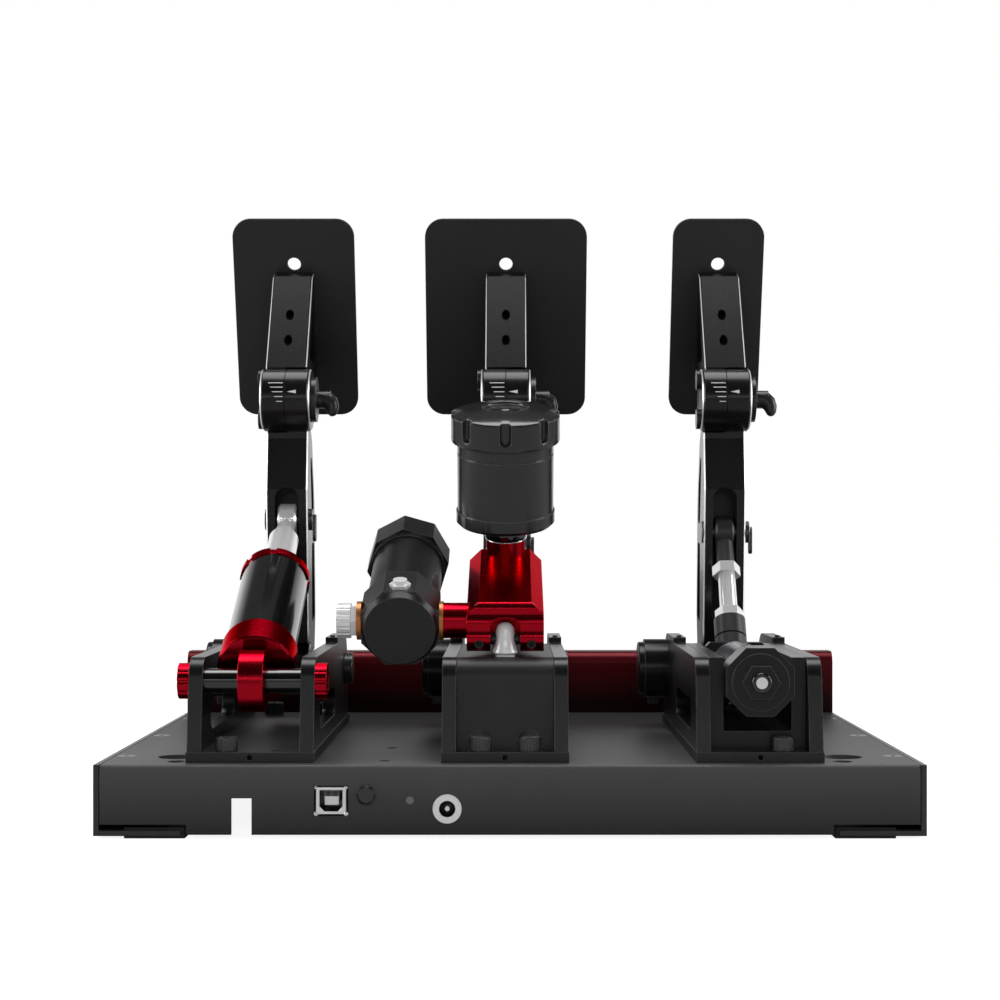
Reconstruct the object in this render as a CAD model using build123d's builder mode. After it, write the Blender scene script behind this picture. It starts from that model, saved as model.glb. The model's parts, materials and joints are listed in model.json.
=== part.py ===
from build123d import *
import os
from math import atan2, cos, degrees, hypot, pi, radians, sin, tan

# Sim racing pedal set: a folded tray with throttle, brake and clutch pedals on it.
# X runs to the right as seen from the side away from the driver, Y runs towards the driver, Z is up.
# The origin lies under the middle of the tray, on the surface that the feet stand on.

os.makedirs("parts", exist_ok=True)

# Small allowances shared by all pieces
overrun = 1.0
touch_gap = 0.3
running_gap = 0.05
hair_gap = 0.15

# Tray
base_width = 340.0
base_depth = 290.0
deck_height = 30.0
deck_sheet = 2.0
deck_bend_radius = 1.6
panel_level = 1.5
rail_sheet = 2.2
rail_level = 1.0
rail_seam = 0.4
rail_flange = 35.5
rail_lip = 14.0
notch_height = 4.1
socket_proud = 1.2

# Feet
foot_height = 4.4
foot_width = 24.9
foot_length = 24.0
foot_grip = 23.1
foot_setback = 0.6

# Holes of the tray
rig_bolt_spacing_x = 280.0
rig_bolt_spacing_y = 198.0
rig_bolt_front_inset = 30.8
rig_bolt_radius = 4.25
tool_hole_radius = 8.6
foot_hole_radius = 4.0
foot_hole_spacing_x = 275.2
foot_hole_front_inset = 13.0
row_hole_x = -52.0
row_hole_radius = 2.2
row_hole_front_inset = 15.8
row_hole_pitch = 52.0
deck_screw_inset_x = 7.5
deck_screw_inset_y = 35.0
deck_screw_pitch = 89.0
deck_screw_count = 3
deck_screw_radius = 2.0
deck_screw_head_radius = 4.0
deck_screw_length = 8.0
socket_key_radius = 1.25
socket_key_depth = 1.2

# Sockets, button and lamp of the front panel
data_socket_x = -72.95
data_socket_z = 15.4
data_socket_width = 11.2
data_socket_height = 10.2
data_socket_wall = 0.6
data_socket_depth = 16.0
data_socket_cavity = 9.0
data_socket_corner = 2.0
data_socket_margin_x = 1.35
data_socket_margin_z = 1.0
tongue_width = 5.6
tongue_height = 3.2
tongue_length = 8.0
button_x = -58.7
button_z = 17.7
button_radius = 3.4
button_travel = 0.8
button_length = 6.0
lamp_x = -40.8
lamp_z = 15.6
lamp_radius = 1.6
lamp_length = 5.0
power_socket_x = -25.6
power_socket_z = 12.2
power_ring_radius = 5.9
power_barrel_radius = 4.8
power_bore_radius = 3.2
power_bore_depth = 10.0
power_pin_radius = 1.0
power_barrel_length = 14.0
cable_notch_x = -109.6
cable_notch_width = 8.4
cable_notch_top = 16.4

# Controller board under the deck
board_width = 60.0
board_depth = 48.0
board_sheet = 1.6
board_x = -65.5
board_setback = 1.0
board_post_radius = 2.5
board_post_inset = 4.0
chip_size = 12.0
chip_height = 1.6
switch_width = 7.0
switch_depth = 6.0
board_plug_width = 14.0
board_plug_height = 6.0

# Heel bar
heel_front_y = 105.0
heel_height = 32.0
heel_wall = 4.0
heel_depth = 34.0
heel_hook = 17.0
heel_bend_radius = 6.0
heel_screw_count = 4
heel_screw_end_inset = 20.0
heel_screw_radius = 2.5
heel_screw_head_radius = 4.4
heel_screw_head_height = 2.6

# Row of pedals
unit_pitch = 105.0
brake_x = -2.0
pivot_y = 27.0
pivot_rise = 28.5

# Bracket of one pedal
bracket_width = 52.8
bracket_sheet = 4.4
bracket_front_inset = 7.0
bracket_rear_reach = 27.0
side_sheet = 5.8
side_margin = 0.3
side_foot_inset = 0.8
side_front_height = 38.4
side_front_lean = 7.0
side_front_round = 9.0
side_step_reach = 41.0
side_boss_radius = 17.0
side_rear_reach = 21.0
side_window_front = 30.0
side_window_length = 78.0
side_window_height = 13.0
side_window_rise = 13.0
bearing_radius = 8.0
bearing_flange_radius = 10.5
bearing_flange = 1.0
pivot_radius = 5.0
pivot_nut_reach = 4.0
spacer_radius = 7.5
lock_screw_radius = 1.2
lock_screw_length = 6.0
lock_screw_proud = 0.8
cap_screw_radius = 2.5
cap_screw_head_radius = 4.25
cap_screw_head_height = 5.8
cap_screw_key_radius = 2.0
cap_screw_key_depth = 3.0
cap_screw_length = 8.0
cap_screw_spacing_x = 20.6
cap_screw_front_inset = 6.5
cap_screw_rear_inset = 10.0

# Angle sensor
sensor_radius = 14.2
sensor_length = 14.5
sensor_pocket_radius = 6.6
sensor_pocket_depth = 6.5
sensor_shaft_reach = 4.5
sensor_step = 3.0
sensor_step_drop = 1.4
sensor_plug_width = 9.0
sensor_plug_height = 5.0
sensor_plug_length = 6.0

# Lower arm
arm_width = 20.0
knuckle_width = 23.6
knuckle_chamfer = 1.25
arm_hub_radius = 13.0
arm_rise = 130.1
knuckle_forward = 19.0
knuckle_radius = 15.25
arm_edge_chamfer = 0.8
fork_gap = 11.4
fork_wall = 9.0
fork_foot_rise = 22.0
fork_head_margin = 15.5
link_pin_radius = 3.0
link_pin_head_radius = 5.2
link_pin_head_height = 2.0
link_pin_left_height = 0.8
link_clip_length = 8.0
link_clip_width = 5.0
link_clip_sheet = 1.6
link_pin_forward = 15.0
link_pin_rise = 72.5
clutch_pin_rise = 66.5
brake_pin_rise = 61.5
window_corner = 2.4

# Outline of the arm between its hub and its knuckle, as shares of arm_rise from the pivot
arm_front_shares = [(-0.146, 0.857), (-0.176, 0.668), (-0.112, 0.100)]
arm_rear_shares = [(0.115, 0.060), (0.150, 0.200), (0.112, 0.620), (0.020, 0.850)]
arm_low_window_shares = [(0.012, 0.170), (0.112, 0.190), (0.090, 0.470), (0.002, 0.470)]
arm_high_window_shares = [(0.004, 0.545), (0.080, 0.545), (0.050, 0.690), (-0.012, 0.790), (-0.060, 0.790)]

# Face arm and face plate
face_lean = 20.0
face_sheet = 2.6
face_length = 100.0
face_corner = 9.0
face_centre_forward = 42.4
face_centre_rise = 43.6
face_arm_width = 19.6
face_arm_reach = 23.5
face_arm_foot = 25.5
face_arm_top_depth = 8.5
face_arm_window_corner = 2.0
face_arm_edge_chamfer = 0.9
face_arm_hole_radius = 2.0
face_hole_radius = 3.3
face_hole_pitch = 9.4
face_hole_first = 27.6
face_screw_count = 2
face_screw_head_radius = 4.2
face_screw_head_height = 2.4
face_screw_radius = 1.9
face_screw_length = 9.0
tilt_washer_radius = 10.8
tilt_washer_sheet = 2.4
tilt_head_radius = 4.3
tilt_head_height = 6.5
tilt_screw_radius = 3.0
tilt_side_screw_radius = 4.8
tilt_side_screw_height = 1.8
tilt_side_screw_spread = 9.4
face_widths = {"throttle": 60.0, "brake": 80.0, "clutch": 45.0}

# Corners of the face arm's window, as shares of face_length from the knuckle
face_arm_window_shares = [(0.090, 0.194), (0.410, 0.209), (0.295, 0.524)]

# Throttle damper
damper_eye_y = -124.0
damper_eye_rise = 32.9
damper_eye_radius = 13.0
damper_eye_width = 10.3
damper_shaft_radius = 5.15
damper_nut_radius = 7.5
damper_nut_width = 4.8
damper_nut_flutes = 10
damper_nut_flute_radius = 1.1
damper_strut_reach = 9.0
damper_collar_radius = 16.3
damper_collar_length = 16.0
damper_collar_bevel = 2.5
damper_tube_radius = 15.0
damper_tube_length = 69.0
damper_tube_wall = 2.0
damper_tube_sink = 7.0
damper_ring_radius = 15.8
damper_ring_length = 4.2
damper_ring_notches = 8
damper_ring_notch_width = 3.0
damper_ring_notch_depth = 0.8
damper_rod_radius = 7.0
damper_nut_across = 11.0
damper_lock_length = 4.0
damper_rod_hidden = 30.0

# Rod ends on the linkage pins
rod_end_radius = 7.6
rod_end_width = 9.0
rod_end_bevel = 1.0
rod_end_shank_radius = 4.3
rod_end_reach = 14.0
rod_end_slack = 0.65
damper_end_reach = 22.0

# Brake hydraulics
bridge_sheet = 4.0
bridge_front_reach = 4.0
bridge_depth = 114.0
bridge_screw_notch_radius = 5.0
bridge_screw_notch_rise = 3.0
stud_y = -116.0
stud_radius = 4.9
stud_flare_radius = 5.1
stud_flare_height = 1.4
stud_waist_radius = 4.1
stud_waist_rise = 4.6
stud_waist_length = 2.4
stud_height = 14.4
stud_base_radius = 4.2
stud_base_height = 1.2
stud_pin_rise = 7.6
stud_pin_radius = 2.0
stud_pin_length = 24.0
master_start_y = -125.0
master_start_rise = 48.0
master_width = 32.4
master_front = 5.0
master_length = 78.0
master_top = 15.6
master_bottom = 5.0
master_belly = 13.0
master_belly_start = 36.0
master_chamfer = 5.2
master_slot_width = 12.6
master_slot_length = 14.0
master_slot_round = 4.4
master_slot_room = 2.0
master_nose_band = 4.5
master_nose_drop = 6.4
master_nose_bulge = 1.3
master_boss_along = 19.0
master_boss_lift = 4.0
master_boss_radius = 7.6
master_boss_reach = 10.0
master_rod_bore_depth = 20.0
master_neck_radius = 8.5
master_neck_height = 12.0
grub_radius = 2.1
grub_depth = 3.0
grub_spacing = 22.0
grub_edge = 3.0
brake_rod_radius = 4.2
brake_nut_across = 12.0
brake_nut_width = 5.0
brake_rod_slack = 0.3
brake_rod_travel = 7.0
reservoir_along = 73.0
reservoir_neck_height = 3.4
reservoir_radius = 21.3
reservoir_height = 38.0
reservoir_wall = 2.4
reservoir_band = 6.5
reservoir_band_lip = 0.6
reservoir_band_bevel = 1.6
reservoir_groove = 0.6
reservoir_groove_drop = 5.0
cap_radius = 24.0
cap_height = 12.5
cap_dome = 3.0
cap_dimple_radius = 9.5
cap_dimple_depth = 1.2
cap_grooves = 6
cap_groove_radius = 2.4
cap_skirt = 7.0
cap_pip_radius = 2.4
line_x = -44.4
line_start_y = -118.0
line_start_rise = 53.4
line_slope = 19.5
line_block_across = 33.0
line_block_length = 27.0
line_block_nose = 3.0
line_tube_radius = 15.7
line_tube_length = 76.0
line_cap_across = 34.5
line_cap_length = 19.0
line_cap_bead_radius = 16.6
line_cap_bead = 3.0
line_cap_turn = -6.0
banjo_radius = 5.0
banjo_head_across = 12.5
banjo_head_width = 2.6
banjo_knob_radius = 7.5
banjo_knob_width = 5.8
banjo_knob_flutes = 16
banjo_knob_flute_radius = 0.8
washer_radius = 8.2
washer_sheet = 2.0
bleed_along = 10.5
bleed_flat = 10.5
bleed_flat_depth = 0.8
bleed_radius = 3.0
bleed_height = 3.5
bleed_hex_across = 8.0

# Clutch spring unit
frame_wall = 5.8
frame_floor = 7.8
frame_front_inset = 11.0
frame_depth = 112.0
frame_margin = 0.3
guide_rise = 33.2
seat_across = 28.2
seat_length = 20.0
seat_front_inset = 0.2
seat_disc_radius = 11.8
seat_disc_height = 1.4
seat_hex_across = 13.5
seat_hex_height = 2.6
guide_radius = 3.1
guide_proud = 1.6
spring_wire_radius = 1.7
spring_radius = 10.6
spring_turns = 9
carriage_y = -27.0
carriage_width = 27.0
carriage_height = 23.0
carriage_front_reach = 16.0
carriage_rear_reach = 9.0
carriage_wall = 6.0
carriage_block_height = 8.6
ball_radius = 6.0
ball_rise = 36.0
ball_neck_radius = 3.6
socket_radius = 7.4
socket_length = 21.0
socket_lip = 0.6
socket_groove = 0.8
clutch_rod_radius = 4.15
clutch_nut_across = 11.5
clutch_nut_width = 5.2
clutch_end_slack = 0.65
clutch_end_reach = 20.0

# Places worked out from the sizes above
half_width = base_width / 2
half_depth = base_depth / 2
front_y = -half_depth + socket_proud
rear_y = half_depth
tray_depth = rear_y - front_y
tray_middle_y = (front_y + rear_y) / 2
deck_half_width = half_width - rail_sheet - rail_seam
deck_under = deck_height - deck_sheet
notch_top = panel_level + notch_height
rail_inner_x = half_width - rail_flange
unit_x = {"throttle": brake_x - unit_pitch, "brake": brake_x, "clutch": brake_x + unit_pitch}
pedals = list(unit_x)
pivot_z = deck_height + pivot_rise
bracket_front_y = front_y + bracket_front_inset
bracket_rear_y = pivot_y + bracket_rear_reach
bracket_top = deck_height + bracket_sheet
side_outer = bracket_width / 2 - side_margin
side_inner = side_outer - side_sheet
side_top = bracket_top + side_front_height
knuckle_y = pivot_y - knuckle_forward
knuckle_z = pivot_z + arm_rise
arm_half = arm_width / 2
knuckle_half = knuckle_width / 2
pin_y = pivot_y - link_pin_forward
pin_rises = {"throttle": link_pin_rise, "brake": brake_pin_rise, "clutch": clutch_pin_rise}
plate_up = Vector(0, -sin(radians(face_lean)), cos(radians(face_lean)))
plate_out = Vector(0, -cos(radians(face_lean)), -sin(radians(face_lean)))
plate_centre = Vector(0, knuckle_y + face_centre_forward, knuckle_z + face_centre_rise)


def save(part, node):
    """Label one finished piece and write it to its own file."""
    part.label = node
    export_step(part, f"parts/{node}.step")


def side_points(shares, length, y, z):
    """Turn shares of a length into points of the side view, seen from a given place."""
    return [(y + length * across_share, z + length * up_share) for across_share, up_share in shares]


def line_plane(x, y, z, slope):
    """A plane at a point, facing along a line in the side view that climbs at a slope in degrees."""
    return Plane(origin=(x, y, z), x_dir=(-1, 0, 0), z_dir=(0, cos(radians(slope)), sin(radians(slope))))


# Deck plate: a sheet folded down at the front and the rear, with its openings
def make_deck_plate():
    with BuildPart() as deck_plate:
        with BuildSketch(Plane.YZ.offset(-deck_half_width)) as section:
            with Locations((tray_middle_y, (deck_height + panel_level) / 2)):
                outer = Rectangle(tray_depth, deck_height - panel_level)
            fillet(section.vertices().group_by(Axis.Y)[-1], deck_bend_radius)
            with Locations((tray_middle_y, (deck_under + panel_level - overrun) / 2)):
                Rectangle(tray_depth - 2 * deck_sheet, deck_under - panel_level + overrun, mode=Mode.SUBTRACT)
        extrude(amount=2 * deck_half_width)
        # Notches of the two flanges over the feet
        notch_width = deck_half_width + overrun - (rail_inner_x - foot_setback * 4)
        with BuildSketch(Plane.XZ.offset(half_depth + overrun)):
            for side in (-1, 1):
                with Locations((side * (deck_half_width + overrun - notch_width / 2), (notch_top - overrun) / 2)):
                    Rectangle(notch_width, notch_top + overrun)
        extrude(amount=-(base_depth + 2 * overrun), mode=Mode.SUBTRACT)
        # Openings of the front panel
        with BuildSketch(Plane.XZ.offset(-front_y + overrun)):
            with Locations((cable_notch_x, (cable_notch_top - overrun) / 2)):
                Rectangle(cable_notch_width, cable_notch_top + overrun)
            with Locations((data_socket_x, data_socket_z)):
                Rectangle(data_socket_width + 2 * data_socket_margin_x, data_socket_height + 2 * data_socket_margin_z)
            with Locations((button_x, button_z)):
                Circle(button_radius + hair_gap)
            with Locations((lamp_x, lamp_z)):
                Circle(lamp_radius)
            with Locations((power_socket_x, power_socket_z)):
                Circle(power_barrel_radius)
        extrude(amount=-(deck_sheet + 2 * overrun), mode=Mode.SUBTRACT)
        # Holes of the top sheet
        with Locations(*[(x, y, deck_height) for x, y in deck_screw_places()]):
            CounterSinkHole(deck_screw_radius, deck_screw_head_radius, counter_sink_angle=90)
        with Locations(*[(x, y, deck_height) for x, y in rig_bolt_places()]):
            Hole(tool_hole_radius, depth=2 * deck_sheet)
        with Locations(*[(x, y, deck_height) for x, y in foot_hole_places()]):
            Hole(foot_hole_radius, depth=2 * deck_sheet)
        with Locations(*[(x, y, deck_height) for x, y in row_hole_places()]):
            Hole(row_hole_radius, depth=2 * deck_sheet)
        with Locations(*[(x, y, deck_height) for x, y in bracket_screw_places() + heel_screw_places()]):
            Hole(cap_screw_radius, depth=2 * deck_sheet)
        # Posts that carry the controller board
        with BuildSketch(Plane.XY.offset(board_top())):
            with Locations(*board_post_places()):
                Circle(board_post_radius)
        extrude(amount=deck_under - board_top())
    return deck_plate


def deck_screw_places():
    """Countersunk screws along both edges of the deck."""
    return [
        (side * (half_width - deck_screw_inset_x), front_y + deck_screw_inset_y + deck_screw_pitch * step)
        for side in (-1, 1)
        for step in range(deck_screw_count)
    ]


def rig_bolt_places():
    """Bolts that hold the tray to a rig, through the lower flanges of the rails."""
    return [
        (side * rig_bolt_spacing_x / 2, y)
        for side in (-1, 1)
        for y in (front_y + rig_bolt_front_inset, front_y + rig_bolt_front_inset + rig_bolt_spacing_y)
    ]


def foot_hole_places():
    """Small holes over the two front feet."""
    return [(side * foot_hole_spacing_x / 2, front_y + foot_hole_front_inset) for side in (-1, 1)]


def row_hole_places():
    """Spare fixing holes between the throttle and the brake."""
    return [(row_hole_x, front_y + row_hole_front_inset + row_hole_pitch * step) for step in range(2)]


def bracket_screws_of(pedal):
    """Cap screws through one bracket's base plate into the deck."""
    front = bracket_front_y + cap_screw_front_inset
    rear = bracket_rear_y - cap_screw_rear_inset
    spread = cap_screw_spacing_x / 2
    front_sides = {"throttle": (-1,), "brake": (-1, 1), "clutch": (1,)}[pedal]
    places = [(unit_x[pedal] + side * spread, front) for side in front_sides]
    return places + [(unit_x[pedal] + side * spread, rear) for side in (-1, 1)]


def bracket_screw_places():
    return [place for pedal in pedals for place in bracket_screws_of(pedal)]


def heel_screw_places():
    """Button screws along the heel bar's foot."""
    run = base_width - 2 * heel_screw_end_inset
    y = heel_front_y + (heel_depth + heel_hook) / 2
    return [(-run / 2 + run * step / (heel_screw_count - 1), y) for step in range(heel_screw_count)]


def board_top():
    """Level of the controller board's upper face, where the data socket stands."""
    return data_socket_z - data_socket_height / 2


def board_front():
    return front_y + deck_sheet + board_setback


def board_post_places():
    """The board's four posts, in plan."""
    spread = board_width / 2 - board_post_inset
    front = board_front() + board_post_inset + data_socket_depth
    rear = board_front() + board_depth - board_post_inset
    return [(board_x + side * spread, y) for side in (-1, 1) for y in (front, rear)]


# Side rail: a folded channel that closes one side of the tray
def make_side_rail(side):
    web_x = side * (half_width - rail_sheet / 2)
    lip_depth = tray_depth - 2 * (deck_sheet + touch_gap)
    with BuildPart() as side_rail:
        with BuildSketch(Plane.XZ.offset(-front_y)):
            with Locations((web_x, (deck_height + rail_level) / 2)):
                Rectangle(rail_sheet, deck_height - rail_level)
            with Locations((side * (half_width - rail_flange / 2), rail_level + rail_sheet / 2)):
                Rectangle(rail_flange, rail_sheet)
        extrude(amount=-tray_depth)
        with BuildSketch(Plane.XZ.offset(-(front_y + deck_sheet + touch_gap))):
            with Locations((side * (half_width - rail_lip / 2), deck_under - rail_sheet / 2)):
                Rectangle(rail_lip, rail_sheet)
        extrude(amount=-lip_depth)
        with Locations(*[(x, y, deck_under) for x, y in deck_screw_places() if x * side > 0]):
            Hole(deck_screw_radius, depth=2 * rail_sheet)
        with Locations(*[(x, y, rail_level + rail_sheet) for x, y in rig_bolt_places() if x * side > 0]):
            Hole(rig_bolt_radius, depth=2 * rail_sheet)
    return side_rail


# Rubber feet: blocks that clip over the inner edge of the rails' lower flanges
def make_rubber_feet():
    inner = rail_inner_x - (foot_width - foot_grip)
    with BuildPart() as rubber_feet:
        for side in (-1, 1):
            for end_y in (front_y + foot_setback + foot_length / 2, rear_y - foot_setback - foot_length / 2):
                with BuildSketch(Plane.XY):
                    with Locations((side * (inner + foot_width / 2), end_y)):
                        RectangleRounded(foot_width, foot_length, foot_setback)
                extrude(amount=foot_height)
                with BuildSketch(Plane.XY.offset(rail_level)):
                    with Locations((side * (rail_inner_x + foot_width / 2), end_y)):
                        Rectangle(foot_width, foot_length + overrun)
                extrude(amount=rail_sheet, mode=Mode.SUBTRACT)
    return rubber_feet


# Countersunk screws that hold the deck to the rails
def make_deck_screws():
    with BuildPart() as deck_screws:
        with BuildSketch(Plane.XY.offset(deck_under)):
            with Locations(*deck_screw_places()):
                Circle(deck_screw_radius)
        extrude(amount=-(deck_screw_length - deck_sheet))
        for x, y in deck_screw_places():
            with BuildSketch(Plane((x, y, deck_under))):
                Circle(deck_screw_radius)
            with BuildSketch(Plane((x, y, deck_height))):
                Circle(deck_screw_head_radius)
            loft()
        with Locations(*[(x, y, deck_height) for x, y in deck_screw_places()]):
            Hole(socket_key_radius, depth=socket_key_depth)
    return deck_screws


# Heel bar: a hooked profile across the whole tray
def make_heel_bar():
    top = deck_height + heel_height
    front = heel_front_y
    rear = heel_front_y + heel_depth
    with BuildPart() as heel_bar:
        with BuildSketch(Plane.YZ.offset(-half_width)) as section:
            with Locations((front + heel_wall / 2, deck_height + heel_height / 2)):
                Rectangle(heel_wall, heel_height)
            with Locations((front + heel_hook / 2, top - heel_wall / 2)):
                Rectangle(heel_hook, heel_wall)
            with Locations(((front + rear) / 2, deck_height + heel_wall / 2)):
                Rectangle(heel_depth, heel_wall)
            outer_corner = section.vertices().sort_by_distance((front, top, 0))[0]
            inner_corner = section.vertices().sort_by_distance((front + heel_wall, top - heel_wall, 0))[0]
            fillet(outer_corner, heel_bend_radius)
            fillet(inner_corner, heel_bend_radius - heel_wall)
        extrude(amount=base_width)
        with Locations(*[(x, y, deck_height + heel_wall) for x, y in heel_screw_places()]):
            Hole(heel_screw_radius, depth=2 * heel_wall)
    return heel_bar


# Screws of the base: countersunk ones in the deck and button heads on the heel bar
def make_base_screws():
    with BuildPart() as base_screws:
        add(make_deck_screws().part)
        add(make_heel_screws().part)
    return base_screws


def make_heel_screws():
    with BuildPart() as heel_screws:
        with BuildSketch(Plane.XY.offset(deck_height + heel_wall)):
            with Locations(*heel_screw_places()):
                Circle(heel_screw_radius)
        extrude(amount=-(heel_wall + 2 * deck_sheet))
        with BuildSketch(Plane.XY.offset(deck_height + heel_wall)):
            with Locations(*heel_screw_places()):
                Circle(heel_screw_head_radius)
        extrude(amount=heel_screw_head_height)
        fillet(heel_screws.edges().group_by(Axis.Z)[-1], heel_screw_head_height / 2)
        with Locations(*[(x, y, deck_height + heel_wall + heel_screw_head_height) for x, y in heel_screw_places()]):
            Hole(socket_key_radius, depth=socket_key_depth)
    return heel_screws


# Data socket: a folded metal shell with a tongue inside
def make_data_socket():
    inner_width = data_socket_width - 2 * data_socket_wall
    inner_height = data_socket_height - 2 * data_socket_wall
    with BuildPart() as data_socket:
        with BuildSketch(Plane.XZ.offset(-front_y)) as shell:
            with Locations((data_socket_x, data_socket_z)):
                Rectangle(data_socket_width, data_socket_height)
            chamfer(shell.vertices().group_by(Axis.Y)[-1], data_socket_corner)
        extrude(amount=-data_socket_depth)
        with BuildSketch(Plane.XZ.offset(-front_y)) as cavity:
            with Locations((data_socket_x, data_socket_z)):
                Rectangle(inner_width, inner_height)
            chamfer(cavity.vertices().group_by(Axis.Y)[-1], data_socket_corner - data_socket_wall / 2)
        extrude(amount=-data_socket_cavity, mode=Mode.SUBTRACT)
        with BuildSketch(Plane.XZ.offset(-front_y - data_socket_cavity)):
            with Locations((data_socket_x, data_socket_z)):
                Rectangle(tongue_width, tongue_height)
        extrude(amount=tongue_length)
    return data_socket


# Power socket: a ring in front of the panel and a barrel through it
def make_power_socket():
    with BuildPart() as power_socket:
        with BuildSketch(Plane.XZ.offset(half_depth)):
            with Locations((power_socket_x, power_socket_z)):
                Circle(power_ring_radius)
        extrude(amount=-socket_proud)
        with BuildSketch(Plane.XZ.offset(-front_y)):
            with Locations((power_socket_x, power_socket_z)):
                Circle(power_barrel_radius)
        extrude(amount=-power_barrel_length)
        with BuildSketch(Plane.XZ.offset(half_depth)):
            with Locations((power_socket_x, power_socket_z)):
                Circle(power_bore_radius)
        extrude(amount=-power_bore_depth, mode=Mode.SUBTRACT)
        with BuildSketch(Plane.XZ.offset(half_depth - power_bore_depth)):
            with Locations((power_socket_x, power_socket_z)):
                Circle(power_pin_radius)
        extrude(amount=power_bore_depth - socket_proud)
    return power_socket


# Push button: a round cap that slides in the panel
def make_pair_button():
    with BuildPart() as pair_button:
        with BuildSketch(Plane.XZ.offset(-front_y + button_travel)):
            with Locations((button_x, button_z)):
                Circle(button_radius)
        extrude(amount=-button_length)
        fillet(pair_button.edges().group_by(Axis.Y)[0], button_travel / 2)
    return pair_button


def make_status_lamp():
    with BuildPart() as status_lamp:
        with BuildSketch(Plane.XZ.offset(-front_y)):
            with Locations((lamp_x, lamp_z)):
                Circle(lamp_radius)
        extrude(amount=-lamp_length)
    return status_lamp


# Controller board: the circuit board with its switch, lamp holder, chip and plugs
def make_controller_board():
    button_rear = front_y - button_travel + button_length
    switch_front = button_rear + button_travel + touch_gap
    lamp_rear = front_y + lamp_length
    plate_y = board_front() + data_socket_depth
    with BuildPart() as controller_board:
        with BuildSketch(Plane.XY.offset(board_top())):
            with Locations((board_x, board_front() + board_depth / 2)):
                Rectangle(board_width, board_depth)
        extrude(amount=-board_sheet)
        with BuildSketch(Plane.XY.offset(board_top())):
            with Locations((button_x, switch_front + switch_depth / 2)):
                Rectangle(switch_width, switch_depth)
        extrude(amount=button_z + switch_width / 2 - board_top())
        with BuildSketch(Plane.XY.offset(board_top())):
            with Locations((lamp_x, lamp_rear + switch_depth / 2)):
                Rectangle(2 * lamp_radius, switch_depth)
        extrude(amount=lamp_z + lamp_radius - board_top())
        with BuildSketch(Plane.XY.offset(board_top())):
            with Locations((board_x, plate_y + chip_size)):
                Rectangle(chip_size, chip_size)
        extrude(amount=chip_height)
        with BuildSketch(Plane.XY.offset(board_top())):
            with Locations((board_x, board_front() + board_depth - board_plug_height)):
                Rectangle(board_plug_width * 2, board_plug_height)
        extrude(amount=board_plug_height)
    return controller_board


# Bracket base plate of one pedal
def make_base_plate(pedal):
    with BuildPart() as base_plate:
        with BuildSketch(Plane.XY.offset(deck_height)):
            with Locations((unit_x[pedal], (bracket_front_y + bracket_rear_y) / 2)):
                Rectangle(bracket_width, bracket_rear_y - bracket_front_y)
        extrude(amount=bracket_sheet)
        with Locations(*[(x, y, bracket_top) for x, y in bracket_screws_of(pedal)]):
            Hole(cap_screw_radius, depth=2 * bracket_sheet)
        if pedal == "throttle":
            spare_x = unit_x[pedal] + cap_screw_spacing_x / 2
            with Locations((spare_x, bracket_front_y + cap_screw_front_inset, bracket_top)):
                Hole(cap_screw_radius, depth=bracket_sheet)
        # Small tapped hole in the front edge
        with BuildSketch(Plane.XZ.offset(-bracket_front_y + overrun)):
            with Locations((unit_x[pedal], deck_height + bracket_sheet / 2)):
                Circle(lock_screw_radius)
        extrude(amount=-(lock_screw_length + overrun), mode=Mode.SUBTRACT)
    return base_plate


# Side plate: a milled cheek with a round boss at the pivot
def make_side_plate(pedal, side):
    inner_x = unit_x[pedal] + side * side_inner
    rear = pivot_y + side_rear_reach
    front_foot = bracket_front_y + side_foot_inset
    front_head = front_foot + side_front_lean
    step_y = pivot_y - side_step_reach
    boss_top = pivot_z + side_boss_radius
    window_y = bracket_front_y + side_window_front + side_window_length / 2
    with BuildPart() as side_plate:
        with BuildSketch(Plane.YZ.offset(inner_x)) as outline:
            with BuildLine():
                Polyline(
                    (pivot_y + side_boss_radius, pivot_z),
                    (rear, bracket_top),
                    (front_foot, bracket_top),
                    (front_head, side_top),
                    (step_y, side_top),
                    (step_y, boss_top),
                    (pivot_y, boss_top),
                )
                RadiusArc((pivot_y, boss_top), (pivot_y + side_boss_radius, pivot_z), side_boss_radius)
            make_face()
            fillet(outline.vertices().sort_by_distance((front_head, side_top, 0))[0], side_front_round)
            with Locations((pivot_y, pivot_z)):
                Circle(bearing_radius, mode=Mode.SUBTRACT)
            with Locations((window_y, bracket_top + side_window_rise)):
                SlotOverall(side_window_length, side_window_height, mode=Mode.SUBTRACT)
            if pedal == "throttle":
                with Locations((damper_eye_y, deck_height + damper_eye_rise)):
                    Circle(damper_shaft_radius + running_gap, mode=Mode.SUBTRACT)
        extrude(amount=side * side_sheet)
        with Locations((inner_x + side * side_sheet / 2, lock_screw_y(), boss_top)):
            Hole(lock_screw_radius, depth=lock_screw_length)
    return side_plate


def lock_screw_y():
    """Place of the small screw on top of each side plate, just behind its step."""
    return pivot_y - side_step_reach + 4 * lock_screw_radius


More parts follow.
